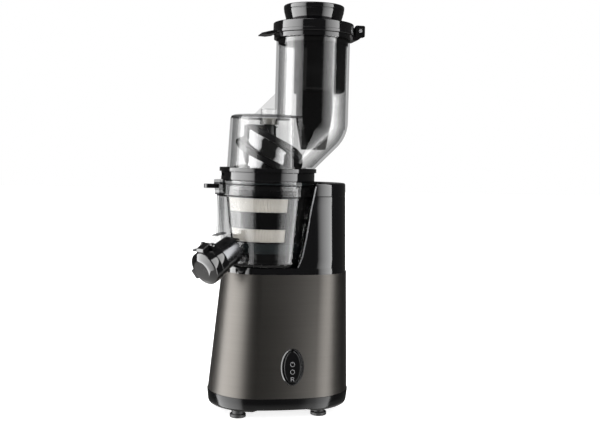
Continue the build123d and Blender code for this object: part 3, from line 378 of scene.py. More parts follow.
wears = {
    "base_tray": satinBlack, "rubber_feet": rubber, "foot_screws": steel, "motor_sleeve": sleeveMetal,
    "cord_gland": satinBlack, "upper_cover": gloss, "column_cap": gloss, "column_trim": chrome,
    "switch_bezel": gloss, "switch_rocker": gloss, "switch_body": satinBlack, "rocker_pin": steel,
    "switch_terminals": brass, "motor_stator": lamination, "stator_windings": copper,
    "rotor_core": lamination, "rotor_shaft": steel, "cooling_fan": satinBlack,
    "lower_end_shield": castMetal, "upper_end_shield": castMetal, "motor_bearings": steel,
    "motor_tie_screws": steel, "motor_pinion": steel, "first_stage_wheel": acetal,
    "second_stage_pinion": steel, "output_gear": acetal, "stage_axle": steel, "output_shaft": steel,
    "drive_coupling": steel, "gearbox_tub": satinBlack, "gearbox_bridge": castMetal,
    "gearbox_lid": satinBlack, "gearbox_screws": steel, "output_bearing": steel, "shaft_seal": rubber,
    "control_board": board, "board_components": satinBlack, "clear_bowl": clearBowl,
    "drum_seal": silicone, "spout_collar": gloss, "cap_hinge_pin": steel, "juice_cap": gloss,
    "cap_gasket": silicone, "lower_mesh": cream, "upper_mesh": cream, "strainer_frame": innerGloss,
    "silicone_sleeve": silicone, "auger": innerGloss, "clear_hood": clearHood,
    "auger_pin_bush": acetal, "lock_ring": gloss, "hood_seal": silicone, "feed_lid": gloss,
    "lid_hinge_bracket": gloss, "lid_hinge_pin": chrome, "pusher_cap": gloss, "pusher_stem": innerGloss,
}
for nodeName, material in wears.items():
    mesh = nodes[nodeName].data
    mesh.materials.clear()
    mesh.materials.append(material)


def softened(corners, steps=5):
    # rounds each corner (radius, height, rounding) of a closed outline
    outline = []
    for index, corner in enumerate(corners):
        here = Vector(corner[:2])
        rounding = corner[2] if len(corner) > 2 else 0.0
        before = Vector(corners[index - 1][:2]) - here
        after = Vector(corners[(index + 1) % len(corners)][:2]) - here
        if rounding <= 0:
            outline.append(here)
            continue
        reach = min(rounding / math.tan(before.angle(after) / 2), 0.49 * before.length, 0.49 * after.length)
        start, end = here + before.normalized() * reach, here + after.normalized() * reach
        for step in range(steps + 1):
            share = step / steps
            outline.append(start * (1 - share) ** 2 + here * (2 * share * (1 - share)) + end * share**2)
    return outline


def circleOf(radius, count):
    turns = [2 * math.pi * step / count for step in range(count)]
    return [(radius * math.cos(turn), radius * math.sin(turn)) for turn in turns]


def ellipseOf(halfWide, halfTall, count=120):
    return [(halfWide * x, halfTall * y) for x, y in circleOf(1.0, count)]


def heightProfile(knots, height):
    # straight runs between (height, value) knots
    for (lowZ, low), (highZ, high) in zip(knots, knots[1:]):
        if height <= highZ:
            share = 0.0 if highZ == lowZ else (height - lowZ) / (highZ - lowZ)
            return low + (high - low) * max(0.0, share)
    return knots[-1][1]


def axesAt(across, upright, out, spot):
    # a place whose x, y and z run along three directions from a spot
    return Matrix((
        (across.x, upright.x, out.x, spot.x),
        (across.y, upright.y, out.y, spot.y),
        (across.z, upright.z, out.z, spot.z),
        (0, 0, 0, 1),
    ))


sideView = axesAt(Vector((1, 0, 0)), Vector((0, 0, 1)), Vector((0, 1, 0)), Vector((0, 0, 0)))


class Shape:
    # gathers skins into one mesh

    def __init__(self):
        self.points = []
        self.faces = []

    def grid(self, rows, around=True, along=False, ends=False):
        # faces between rows of points: around closes each row, along joins the last row to the first
        first, width = len(self.points), len(rows[0])
        for row in rows:
            self.points.extend(row)
        lastRow = len(rows) if along else len(rows) - 1
        lastColumn = width if around else width - 1
        for i in range(lastRow):
            for j in range(lastColumn):
                nextRow, nextColumn = (i + 1) % len(rows), (j + 1) % width
                self.faces.append([
                    first + i * width + j, first + i * width + nextColumn,
                    first + nextRow * width + nextColumn, first + nextRow * width + j,
                ])
        if ends:
            self.faces.append([first + j for j in range(width)])
            self.faces.append([first + (len(rows) - 1) * width + j for j in reversed(range(width))])
        return self

    def turned(self, corners, centre=(0, 0), count=160, place=None):
        place = place or Matrix.Translation((centre[0], centre[1], 0))
        rows = []
        for radius, height in softened(corners):
            rows.append([place @ Vector((x, y, height)) for x, y in circleOf(radius, count)])
        return self.grid(rows, along=True)

    def prism(self, outline, low, high, place=None):
        place = place or Matrix.Identity(4)
        rows = [[place @ Vector((x, y, height)) for x, y in outline] for height in (low, high)]
        return self.grid(rows, ends=True)

    def piece(self, name, finish, body="base", replaced=(), slot=None, sharpest=35.0, edge=0.0):
        shape = bmesh.new()
        corners = [shape.verts.new(at(*point)) for point in self.points]
        for face in self.faces:
            shape.faces.new([corners[index] for index in face])
        bmesh.ops.remove_doubles(shape, verts=shape.verts, dist=1e-6)
        bmesh.ops.recalc_face_normals(shape, faces=shape.faces)
        mesh = bpy.data.meshes.new(name)
        shape.to_mesh(mesh)
        shape.free()
        mesh.shade_smooth()
        mesh.set_sharp_from_angle(angle=math.radians(sharpest))
        mesh.materials.append(finish)
        made = bpy.data.objects.new(name, mesh)
        bpy.context.collection.objects.link(made)
        if edge > 0:
            rounding = made.modifiers.new("softEdge", "BEVEL")
            rounding.width = edge * 0.001
            rounding.segments = 3
            rounding.limit_method = "ANGLE"
            rounding.angle_limit = math.radians(35)
            rounding.harden_normals = True
        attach(made, body)
        if replaced:
            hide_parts(*replaced)
        return made


def carve(made, shape):
    # subtracts a shape from a piece
    cutter = shape.piece("cutter", satinBlack)
    cutter.parent = None
    change = made.modifiers.new("cut", "BOOLEAN")
    change.object = cutter
    change.operation = "DIFFERENCE"
    change.solver = "EXACT"
    bpy.context.view_layer.update()
    result = bpy.data.meshes.new_from_object(made.evaluated_get(bpy.context.evaluated_depsgraph_get()))
    made.modifiers.remove(change)
    made.data = result
    made.data.shade_smooth()
    made.data.set_sharp_from_angle(angle=math.radians(32))
    bpy.data.objects.remove(cutter)


print("auger")
augerLook = {
    "lead": 104.0,
    "starts": 4,
    "turn": -17.5,
    "foot": 162.4,
    "flightTop": 302.5,
    "step": 1.5,  # height between two rows of points
    "reach": [(162.4, 32.55), (222.0, 40.09), (228.0, 37.0), (279.0, 37.0), (302.5, 31.5)],
    "core": [(162.4, 28.6), (200.0, 32.3), (226.0, 27.0), (302.5, 27.0)],
    # the slender core above the highest flight, and how far round it reaches
    "slender": [(254.0, 27.0), (263.0, 9.0), (302.5, 7.3)],
    "slenderSpan": (13.2, 200.0),
    # height at which each flight runs out, and over what height
    "tops": [306.0, 262.0, 262.0, 291.0],
    "runOut": 3.5,
    # degrees from the flight's middle against the share of its height
    "flank": [
        (-45.0, 0.0), (-32.0, 0.0), (-20.0, 0.0), (-15.0, 0.02), (-13.4, 0.1), (-13.0, 0.5), (-12.7, 0.86),
        (-12.0, 0.97), (-10.5, 1.0), (-4.0, 1.0), (4.0, 1.0), (10.5, 1.0), (12.0, 0.97), (12.7, 0.86),
        (13.0, 0.5), (13.4, 0.1), (15.0, 0.02), (20.0, 0.0), (32.0, 0.0),
    ],
    "pin": [(302.5, 7.2), (302.5, 6.2), (303.2, 6.0), (308.6, 6.0), (309.1, 5.7), (309.4, 5.0)],
}


def makeAuger(look):
    foot, top, step = look["foot"], look["flightTop"], look["step"]

    def row(height, rounded=0.0, radius=None):
        thick, slender = heightProfile(look["core"], height), heightProfile(look["slender"], height)
        reach = heightProfile(look["reach"], height) - rounded
        points = []
        for start in range(look["starts"]):
            left = min(1.0, max(0.0, (look["tops"][start] - height) / look["runOut"]))
            left = left * left * (3 - 2 * left)
            for degrees, share in look["flank"]:
                swing = look["turn"] - 360.0 * (min(height, top) - foot) / look["lead"]
                turn = math.radians(360.0 / look["starts"] * start + degrees + swing)
                free = look["slenderSpan"][0] < 90.0 * start + degrees < look["slenderSpan"][1]
                core = min(thick, slender) if free else thick
                spread = radius if radius is not None else core + (reach - core) * share * left
                points.append((spread * math.cos(turn), spread * math.sin(turn), height))
        return points

    rows = [row(foot + step * count) for count in range(int((top - foot) / step))]
    rows += [row(top - 0.5), row(top, rounded=0.5)]
    rows += [row(height, radius=radius) for height, radius in look["pin"]]
    Shape().grid(rows, ends=True).piece("augerScrew", augerBlack, "auger_drive", ["auger"], sharpest=30)


makeAuger(augerLook)

print("strainer")
strainerLook = {
    "radius": 39.8,
    "radiusAt": 196.0,
    "slope": 0.1265,
    "bands": {"lower_mesh": (178.5, 194.8), "upper_mesh": (209.7, 226.9)},
    "ribs": 156,
    # one rib from slit to slit: share of its width, depth
    "ribOutline": [(0.0, -1.45), (0.10, -1.40), (0.22, -0.95), (0.5, -0.8), (0.78, -0.95), (0.90, -1.40)],
    "ribBack": -1.6,
    # solid parts of the wall, degrees about the drum's axis
    "posts": [(-69.0, -9.0), (111.0, 171.0)],
    "postHeights": (177.0, 202.5, 228.0),
    "postOut": 0.35,
    "postIn": -1.0,
    "postSteps": 30,
}


def strainerRadius(look, height):
    return look["radius"] + look["slope"] * (height - look["radiusAt"])


def ribbedBand(look, name, low, high):
    # upright ribs with a rounded crest and a narrow slit between each pair
    rows = []
    for height, back in ((low, None), (high, None), (high, look["ribBack"]), (low, look["ribBack"])):
        row = []
        for rib in range(look["ribs"]):
            for share, depth in look["ribOutline"]:
                turn = 2 * math.pi * (rib + share) / look["ribs"]
                radius = strainerRadius(look, height) + (depth if back is None else back)
                row.append((radius * math.cos(turn), radius * math.sin(turn), height))
        rows.append(row)
    Shape().grid(rows, along=True).piece(name + "Ribs", cream, "base", [name], sharpest=30)


def strainerPosts(look):
    shape, steps = Shape(), look["postSteps"]
    for start, end in look["posts"]:
        rows = []
        for height in look["postHeights"]:
            outline = []
            for depth, order in ((look["postOut"], 1), (look["postIn"], -1)):
                radius = strainerRadius(look, height) + depth
                for step in range(steps + 1)[::order]:
                    turn = math.radians(start + (end - start) * step / steps)
                    outline.append((radius * math.cos(turn), radius * math.sin(turn), height))
            rows.append(outline)
        shape.grid(rows, ends=True)
    shape.piece("strainerPosts", innerGloss, "base", slot="black_gloss", sharpest=50)


for bandName, (bandLow, bandHigh) in strainerLook["bands"].items():
    ribbedBand(strainerLook, bandName, bandLow, bandHigh)
strainerPosts(strainerLook)

print("pusher")
pusherLook = {
    # the cap's section: radius, height, rounding
    "cap": [
        (26.2, 414.7), (29.0, 414.7, 0.3), (30.4, 419.6, 3.0), (32.6, 427.7, 0.3), (31.9, 428.0),
        (31.9, 428.7), (32.8, 429.0, 0.3), (33.0, 433.6, 1.6), (24.0, 434.6, 9.0), (0.0, 434.9),
        (0.0, 431.6), (29.4, 431.6), (29.4, 427.0),
    ],
}
Shape().turned(pusherLook["cap"], centre=(tubeX, 0)).piece("pusherCap", gloss, "pusher", ["pusher_cap"])

print("base")
# plans of the base: height, centre, half length, half depth, end radius
plans = {
    "skirtLow": (7.5, 16.6, 74.4, 52.2, 50.8),
    "skirtHigh": (21.5, 16.6, 76.0, 53.8, 52.4),
    "sleeveLow": (21.5, 16.6, 75.2, 53.0, 51.6),
    "sleeveHigh": (147.0, 20.7, 67.8, 42.0, 41.1),
    "coverLow": (147.0, 20.5, 67.2, 41.5, 40.8),
    "coverHigh": (242.5, 19.7, 65.3, 42.4, 41.6),
}


def planAt(part, height):
    low, high = plans[part + "Low"], plans[part + "High"]
    share = (height - low[0]) / (high[0] - low[0])
    return (height,) + tuple(a + (b - a) * share for a, b in zip(low[1:], high[1:]))


def ovalArcs(plan, inset):
    # an oval of two end arcs and two flatter side arcs, and the point where they meet
    _, centre, length, depth, end = plan
    length, depth, end = length - inset, depth - inset, end - inset
    side = ((length - end) ** 2 + depth**2 - end**2) / (2 * (depth - end))
    meetX = (length - end) * side / (side - end)
    meetY = end * (side - depth) / (side - end)
    return centre, length, depth, end, side, meetX, meetY


def ovalRing(plan, inset=0.0, each=48):
    # points of the oval from the +X end round, worked out for one quarter
    centre, length, depth, end, side, meetX, meetY = ovalArcs(plan, inset)
    endTurn = math.atan2(meetY, meetX - (length - end))
    sideTurn = math.atan2(meetX, meetY + side - depth)
    quarter = []
    for step in range(each):
        turn = endTurn * step / each
        quarter.append((length - end + end * math.cos(turn), end * math.sin(turn)))
    for step in range(each):
        turn = sideTurn * (1 - step / each)
        quarter.append((side * math.sin(turn), side * math.cos(turn) + depth - side))
    back = [(x, y) for x, y in reversed(quarter[1:])]
    points = quarter + [(0.0, depth)] + [(-x, y) for x, y in back] + [(-length, 0.0)]
    points += [(-x, -y) for x, y in quarter[1:]] + [(0.0, -depth)] + [(x, -y) for x, y in back]
    return [(centre + x, y, plan[0]) for x, y in points]


sleeveLook = {
    "thick": 1.0,
    "switchAt": (22.0, 53.3),
    "switchHole": (12.25, 18.85),
    "glandHeight": 38.0,
    "glandHole": 5.6,
    "cutDepth": 4,
}
sleeveFoot, sleeveTop = plans["sleeveLow"], plans["sleeveHigh"]
sleeveLean = math.atan2(sleeveFoot[3] - sleeveTop[3], sleeveTop[0] - sleeveFoot[0])


def facePlace(x, height, side):
    # x across, y up, z out of the sleeve's front (-1) or back (1)
    centre, _, depth, _, arc, _, _ = ovalArcs(planAt("sleeve", height), 0.0)
    y = side * ((arc**2 - (x - centre) ** 2) ** 0.5 - (arc - depth))
    normal = Vector((0, side * math.cos(sleeveLean), math.sin(sleeveLean)))
    across = Vector((-side, 0, 0))
    return axesAt(across, normal.cross(across), normal, Vector((x, y, height)))


switchPlace = facePlace(*sleeveLook["switchAt"], -1)
glandPlace = facePlace(planAt("sleeve", sleeveLook["glandHeight"])[1], sleeveLook["glandHeight"], 1)


def makeSleeve(look, rings=8):
    step = (sleeveTop[0] - sleeveFoot[0]) / rings
    heights = [sleeveFoot[0] + step * count for count in range(rings + 1)]
    outer = [ovalRing(planAt("sleeve", height)) for height in heights]
    inner = [ovalRing(planAt("sleeve", height), look["thick"]) for height in reversed(heights)]
    made = Shape().grid(outer + inner, along=True)
    made = made.piece("brushedSleeve", sleeveMetal, "base", ["motor_sleeve"])
    deep = look["cutDepth"]
    carve(made, Shape().prism(ellipseOf(*look["switchHole"]), -deep, deep, switchPlace))
    carve(made, Shape().prism(circleOf(look["glandHole"], 64), -deep, deep, glandPlace))


makeSleeve(sleeveLook)

skirtLook = {
    # height, how far inside the plan
    "levels": [
        (7.5, 2.4), (7.7, 1.4), (8.3, 0.6), (9.9, 0.05), (11.0, 0.0), (14.0, 0.0), (20.9, 0.0),
        (21.35, 0.2), (21.5, 0.8), (21.5, 3.0),
    ],
    # the lower edge rises a little between the feet
    "lift": 1.8,
    "liftFades": 3.0,
    "liftMiddle": 13.0,
    "liftHalf": 31.0,
    "liftBlend": 4.0,
}


def makeSkirt(look):
    rows = []
    for height, inset in look["levels"]:
        lift = max(0.0, 1.0 - (height - look["levels"][0][0]) / look["liftFades"]) * look["lift"]
        row = []
        for x, y, z in ovalRing(planAt("skirt", height), inset):
            share = min(1.0, max(0.0, (look["liftHalf"] - abs(x - look["liftMiddle"])) / look["liftBlend"]))
            row.append((x, y, z + lift * share * share * (3 - 2 * share)))
        rows.append(row)
    Shape().grid(rows, ends=True).piece("baseSkirt", satinBlack, "base", ["base_tray"], sharpest=50)


makeSkirt(skirtLook)

columnLook = {
    # the round recess behind the drum: height, radius
    "recess": [
        (153.0, 48.76), (153.6, 48.9), (165.0, 51.6), (185.0, 54.0), (216.0, 57.1), (242.5, 60.6),
    ],
    # height, how far inside the plan
    "shelf": [(147.0, 0.0), (151.0, 0.0), (153.0, 0.0), (153.45, 0.2), (153.6, 0.6)],
    "foot": 153.4,
    "step": 9.3625,
    "steps": 8,
    "rim": [(228.2, 0.0), (228.4, 0.2)],
    "cap": [
        (228.75, 0.2), (228.95, 0.0), (234.0, 0.0), (240.7, 0.0), (241.6, 0.25), (242.2, 0.9),
        (242.45, 1.5), (242.5, 2.2),
    ],
    "outsidePoints": 112,
    "recessPoints": 64,
}


def columnRing(look, height, inset=0.0):
    # the column's section: the oval's far part, closed by the round recess
    centre, length, depth, end, side, meetX, _ = ovalArcs(planAt("cover", height), inset)
    recess = heightProfile(look["recess"], height) + inset

    def edge(x):
        across = abs(x - centre)
        if across <= meetX:
            return (side**2 - across**2) ** 0.5 + depth - side
        return max(0.0, end**2 - (across - (length - end)) ** 2) ** 0.5

    # halving finds where the oval leaves the recess
    start, high = 0.0, recess
    for _ in range(40):
        middle = (start + high) / 2
        if edge(middle) ** 2 + middle**2 < recess**2:
            start = middle
        else:
            high = middle
    far = centre + length
    points = []
    for step in range(look["outsidePoints"] + 1):
        x = start + (far - start) * math.sin(step / look["outsidePoints"] * math.pi / 2)
        points.append((x, edge(x)))
    points += [(x, -y) for x, y in reversed(points[:-1])]
    swing = math.atan2(edge(start), start)
    for step in range(1, look["recessPoints"]):
        turn = -swing + 2 * swing * step / look["recessPoints"]
        points.append((recess * math.cos(turn), recess * math.sin(turn)))
    return [(x, y, height) for x, y in points]


def makeColumn(look):
    shape = Shape()
    shape.grid([ovalRing(planAt("cover", height), inset) for height, inset in look["shelf"]], ends=True)
    levels = [(look["foot"] + step * look["step"], 0.0) for step in range(look["steps"])] + look["rim"]
    shape.grid([columnRing(look, height, inset) for height, inset in levels], ends=True)
    shape.piece("columnAndShelf", gloss, "base", ["upper_cover"], sharpest=40)
    cap = Shape().grid([columnRing(look, height, inset) for height, inset in look["cap"]], ends=True)
    cap.piece("columnTop", gloss, "base", ["column_cap"], sharpest=40)


makeColumn(columnLook)

trimLook = {
    "low": 154.4,
    "high": 239.3,
    "steps": 24,
    "width": 1.4,
    # along the column's outside from the corner, how far proud of it
    "outside": [(0.0, 0.1), (0.7, 0.1), (1.4, 0.1), (1.4, -0.6), (0.6, -0.6)],
    # along the recess as a share of the width, how far behind its face
    "recess": [(0.8, 0.8), (1.0, 0.0), (1.0, -0.1), (0.5, -0.1), (0.05, -0.1)],
}


def makeTrim(look):
    # a bright strip along each edge where the recess meets the column's outside
    shape = Shape()
    for side in (-1, 1):
        rows = []
        for step in range(look["steps"] + 1):
            height = look["low"] + (look["high"] - look["low"]) * step / look["steps"]
            ring = columnRing(columnLook, height)
            corner = Vector(ring[0])
            face = (Vector(ring[4]) - corner).normalized()
            proud = Vector((-face.y, face.x, 0))
            spots = [corner + face * along + proud * lift for along, lift in look["outside"]]
            recess = heightProfile(columnLook["recess"], height)
            for along, behind in look["recess"]:
                turn = math.atan2(corner.y, corner.x) - look["width"] * along / recess
                spots.append(Vector((math.cos(turn), math.sin(turn), 0)) * (recess + behind))
            rows.append([Vector((spot.x, spot.y * side, height)) for spot in spots])
        shape.grid(rows, ends=True)
    shape.piece("brightTrim", chrome, "base", ["column_trim"], sharpest=50)


makeTrim(trimLook)

print("switch")
switchLook = {
    "bezel": (12.15, 18.75),
    "bezelHole": (9.6, 17.4),
    "rocker": (9.0, 16.5),
    # how far inside the oval, height out of the sleeve's face
    "bezelOutside": [(0.0, -1.9), (0.0, 0.2), (1.0, 1.3), (1.1, 1.35), (1.2, 1.35)],
    "bezelInside": [(-0.08, 1.35), (0.0, 1.27), (0.0, -1.9)],
    "rockerLevels": [(0.0, -5.9), (0.0, 0.15), (0.7, 0.84), (0.9, 0.9), (1.1, 0.9), (8.7, 0.9)],
    "printHeight": 1.0,
    "printDepth": 0.5,
    "markRadius": 2.15,
    "onHeight": 2.9,
    "offHeight": -4.7,
}


def ellipseRows(levels, size):
    rows = []
    for inset, height in levels:
        outline = ellipseOf(size[0] - inset, size[1] - inset)
        rows.append([switchPlace @ Vector((x, y, height)) for x, y in outline])
    return rows


def makeSwitch(look):
    rows = ellipseRows(look["bezelOutside"], look["bezel"])
    rows += ellipseRows(look["bezelInside"], look["bezelHole"])
    Shape().grid(rows, along=True).piece("switchBezel", gloss, "base", ["switch_bezel"], sharpest=30)
    rocker = Shape().grid(ellipseRows(look["rockerLevels"], look["rocker"]), ends=True)
    rocker.piece("switchRocker", gloss, "rocker", ["switch_rocker"], sharpest=30)


def printMarks(look):
    # printed lines of even width: on, off and reverse
    shape, size = Shape(), look["markRadius"]

    def ringAt(height):
        return [(size * x, height + size * y) for x, y in circleOf(1.0, 28)]

    strokes = [
        (ringAt(look["onHeight"]), 0.5, True),
        ([(0.0, 3.9), (0.0, 5.3)], 0.45, False),
        (ringAt(look["offHeight"]), 0.5, True),
        ([(-1.5, -14.0), (-1.5, -10.1)], 0.5, False),
        ([(-1.5, -10.3), (0.6, -10.3), (1.4, -10.8), (1.4, -11.7), (0.6, -12.2), (-1.5, -12.2)], 0.45, False),
        ([(0.1, -12.2), (1.6, -14.0)], 0.5, False),
    ]
    for path, width, closed in strokes:
        for (x1, y1), (x2, y2) in zip(path, path[1:] + (path[:1] if closed else [])):
            along = Vector((x2 - x1, y2 - y1)).normalized() * width / 2
            aside = Vector((-along.y, along.x))
            first, last = Vector((x1, y1)) - along * 0.4, Vector((x2, y2)) + along * 0.4
            outline = [(p.x, p.y) for p in (first - aside, last - aside, last + aside, first + aside)]
            shape.prism(outline, look["printHeight"] - look["printDepth"], look["printHeight"], switchPlace)
    shape.piece("switchMarks", printed, "rocker", slot="black_gloss")


makeSwitch(switchLook)
printMarks(switchLook)

print("juice outlet")
spoutLook = {
    "turn": 216.0,
    "fall": 25.0,
    "reach": 46.5,
    "height": 174.0,
    # sections about the spout's axis: radius, distance along it, rounding
    "collar": [(14.6, 26.8), (16.7, 26.8, 0.5), (16.7, 36.2, 0.5), (14.6, 36.2)],
    "skin": [(14.52, 4.5), (14.8, 4.5, 0.1), (14.8, 26.7, 0.1), (14.52, 26.7)],
    "capAt": 36.8,
    "cap": [
        (0.0, 5.0), (15.4, 5.0, 0.3), (15.4, 0.0, 0.2), (17.8, 0.0, 0.4), (17.8, 9.2, 1.6),
        (11.3, 12.8, 7.0), (0.0, 13.0),
    ],
    # the cap's hinge, and its lever seen from the side: along the spout, away from the hinge's axis
    "hingeAt": 32.4,
    "hingeRadius": 20.0,
    "lever": [
        (0, 2.5), (-2.4, 0.6), (-2.4, -0.6), (-1.2, -2.3), (4.8, -2.5), (4.8, -4.2), (12.0, -4.2),
        (12.6, -1.0), (11.0, 1.6), (5.0, 2.5),
    ],
    "leverHalf": 5.0,
    "earRound": 2.6,
    "earFoot": -5.2,
    "earAt": 7.0,
    "earHalf": 1.5,
    # the grip on the cap's rim
    "gripTurn": 205.0,
    "gripRadius": 18.8,
    "grip": [(-3.0, -5.5), (4.5, -5.5), (6.0, -4.0), (6.0, 4.0), (4.5, 5.5), (-3.0, 5.5)],
    "gripSpan": (3.0, 7.5),
}


def spoutPlace(look, along):
    # z along the spout, from its root on the drum
    turn, fall = math.radians(look["turn"]), math.radians(look["fall"])
    out = Vector((math.cos(turn), math.sin(turn), 0))
    normal = out * math.cos(fall) + Vector((0, 0, -math.sin(fall)))
    across = Vector((-out.y, out.x, 0))
    spot = out * look["reach"] + Vector((0, 0, look["height"])) + normal * along
    return axesAt(across, normal.cross(across), normal, spot)


def makeSpout(look):
    capPlace, hingePlace = spoutPlace(look, look["capAt"]), spoutPlace(look, look["hingeAt"])
    upSign = 1 if (hingePlace.to_3x3() @ Vector((0, 1, 0))).z > 0 else -1
    # from the side: x along the spout, y away from it, z across
    fromSide = hingePlace @ axesAt(Vector((0, 0, 1)), Vector((0, 1, 0)), Vector((1, 0, 0)), Vector((0, 0, 0)))

    def overHinge(outline):
        return [(x, y * upSign + look["hingeRadius"] * upSign) for x, y in outline]

    Shape().turned(look["cap"], place=capPlace).piece("juiceCap", gloss, "spout_cap", ["juice_cap"])

    lever = Shape().prism(overHinge(look["lever"]), -look["leverHalf"], look["leverHalf"], fromSide)
    turn = math.radians(look["gripTurn"])
    grip = []
    for x, y in look["grip"]:
        out = look["gripRadius"] + x
        grip.append((out * math.cos(turn) - y * math.sin(turn), out * math.sin(turn) + y * math.cos(turn)))
    lever.prism(grip, *look["gripSpan"], capPlace)
    lever.piece("juiceCapLever", gloss, "spout_cap", slot="black_gloss", edge=0.5)

    collar = Shape().turned(look["collar"], place=spoutPlace(look, 0))
    halfTurns = [math.pi * step / 12 for step in range(13)]
    ear = [(look["earRound"] * math.cos(turn), look["earRound"] * math.sin(turn)) for turn in halfTurns]
    ear += [(-look["earRound"], look["earFoot"]), (look["earRound"], look["earFoot"])]
    for side in (-1, 1):
        middle = side * look["earAt"]
        collar.prism(overHinge(ear), middle - look["earHalf"], middle + look["earHalf"], fromSide)
    collar.piece("spoutCollar", gloss, "base", ["spout_collar"])

    skin = Shape().turned(look["skin"], place=spoutPlace(look, 0))
    skin.piece("spoutSkin", smoked, "base", slot="black_gloss")


makeSpout(spoutLook)

print("rings")
ringLook = {
    # the bowl's finger tab: two half rounds with a straight between
    "tabMiddle": -60.5,
    "tabStraight": 3.5,
    "tabRound": 4.6,
    "tabSpan": (234.3, 238.7),
    # sections about the drum's axis: radius, height, rounding
    "flange": [
        (51.5, 252.8), (52.05, 252.8), (52.05, 256.9, 0.4), (45.6, 256.9), (45.6, 256.72), (51.5, 256.72),
    ],
    "lock": [(41.2, 243.5), (50.2, 243.5, 0.7), (50.2, 252.7, 0.7), (41.2, 252.7)],
    "lockNeck": [(45.6, 234.0), (48.3, 234.0, 0.3), (48.3, 244.0), (45.6, 244.0)],
    "lugTurns": (45, 135, 225, 315),
    "lugReach": (47.3, 50.4),
    "lugHalf": 5.5,
    "lugSpan": (234.0, 236.8),
    "notchReach": (46.4, 54.0),
    "notchHalf": 12.0,
    "notchSpan": (247.4, 250.8),
}


def blockOf(near, far, half):
    return [(near, -half), (far, -half), (far, half), (near, half)]


def makeRings(look):
    outline = []
    for x, y in circleOf(1.0, 48):
        straight = look["tabStraight"] if x > 0 else -look["tabStraight"]
        outline.append((look["tabMiddle"] + straight + look["tabRound"] * x, look["tabRound"] * y))
    tab = Shape().prism(outline, *look["tabSpan"])
    tab.piece("fingerTab", gloss, "base", slot="black_gloss", edge=0.5)

    Shape().turned(look["flange"]).piece("hoodFlangeSkin", gloss, "hood", slot="black_gloss")

    lock = Shape().turned(look["lock"]).turned(look["lockNeck"])
    for turn in look["lugTurns"]:
        lug = blockOf(*look["lugReach"], look["lugHalf"])
        lock.prism(lug, *look["lugSpan"], Matrix.Rotation(math.radians(turn), 4, "Z"))
    lockPiece = lock.piece("lockRing", gloss, "hood", ["lock_ring"])
    notches = Shape()
    for side in (-1, 1):
        near, far = look["notchReach"]
        notches.prism(blockOf(side * near, side * far, look["notchHalf"]), *look["notchSpan"])
    carve(lockPiece, notches)


makeRings(ringLook)

print("feed lid")
lidLook = {
    # sections about the tube's axis: radius, height, rounding
    "ring": [
        (36.2, 402.2), (44.0, 402.2, 0.6), (44.0, 405.4, 0.2), (43.7, 405.7, 0.2), (43.7, 414.3, 1.2),
        (39.3, 414.3, 0.3), (39.3, 411.6), (36.2, 411.6, 0.3),
    ],
    "plug": [(36.2, 392.2), (37.7, 392.2), (37.7, 402.4), (36.2, 402.4)],
    # seen from the front: across from the tube's axis, height
    "tab": [
        (-59.5, 399.7), (-58.9, 400.9), (-50.0, 403.4), (-42.0, 405.3), (-42.0, 402.3), (-45.0, 400.5),
        (-52.0, 399.3),
    ],
    "tabHalf": 10.4,
    "knuckle": (49.6, 408.3, 4.5),
    "arm": [(42.1, 404.3), (49.1, 404.3), (49.1, 412.3), (42.1, 412.3)],
    "armHalf": 6.5,
}


def makeLid(look):
    ring = Shape().turned(look["ring"], centre=(tubeX, 0)).turned(look["plug"], centre=(tubeX, 0))
    ring.piece("feedLidRing", gloss, "hood", ["feed_lid"])
    tab = Shape()
    tab.prism([(tubeX + x, z) for x, z in look["tab"]], -look["tabHalf"], look["tabHalf"], sideView)
    knuckleX, knuckleZ, radius = look["knuckle"]
    knuckle = [(tubeX + knuckleX + radius * x, knuckleZ + radius * y) for x, y in circleOf(1.0, 32)]
    tab.prism(knuckle, -look["armHalf"], look["armHalf"], sideView)
    tab.prism([(tubeX + x, z) for x, z in look["arm"]], -look["armHalf"], look["armHalf"], sideView)
    tab.piece("feedLidTab", gloss, "hood", slot="black_gloss", edge=0.6)


makeLid(lidLook)

print("stage")
# lengths of the studio are metres
studioLook = {
    "viewTurn": -12.0,
    "floorSize": 6.0,
    "floorGlow": 0.8,
    "fill": 0.85,
    # what polished surfaces see of the empty room, straight ahead and below
    "mirrored": 0.09,
    "mirroredBelow": 1.3,
    "belowFrom": 0.3,
    "belowTo": 0.65,
}
viewTurn = math.radians(studioLook["viewTurn"])
towardsCamera = Vector((math.sin(viewTurn), -math.cos(viewTurn), 0))
screenRight = Vector((math.cos(viewTurn), math.sin(viewTurn), 0))
upwards = Vector((0, 0, 1))


def makeFloor(look):
    finish = Finish("paleFloor", (0.9, 0.9, 0.9))
    finish.done(finish.principled(
        Base_Color=finish.noise(2.0, 2.0).between((0.86, 0.86, 0.86), (0.9, 0.9, 0.9)),
        Roughness=0.9,
        Emission_Color=(1, 1, 1),
        Emission_Strength=look["floorGlow"],
    ))
    mesh = bpy.data.meshes.new("floor")
    shape = bmesh.new()
    bmesh.ops.create_grid(shape, x_segments=8, y_segments=8, size=look["floorSize"])
    shape.to_mesh(mesh)
    shape.free()
    mesh.materials.append(finish.material)
    floor = bpy.data.objects.new("floor", mesh)
    floor.location = (0, 0, -0.0002)
    floor.visible_glossy = False
    floor.visible_diffuse = False
    bpy.context.collection.objects.link(floor)


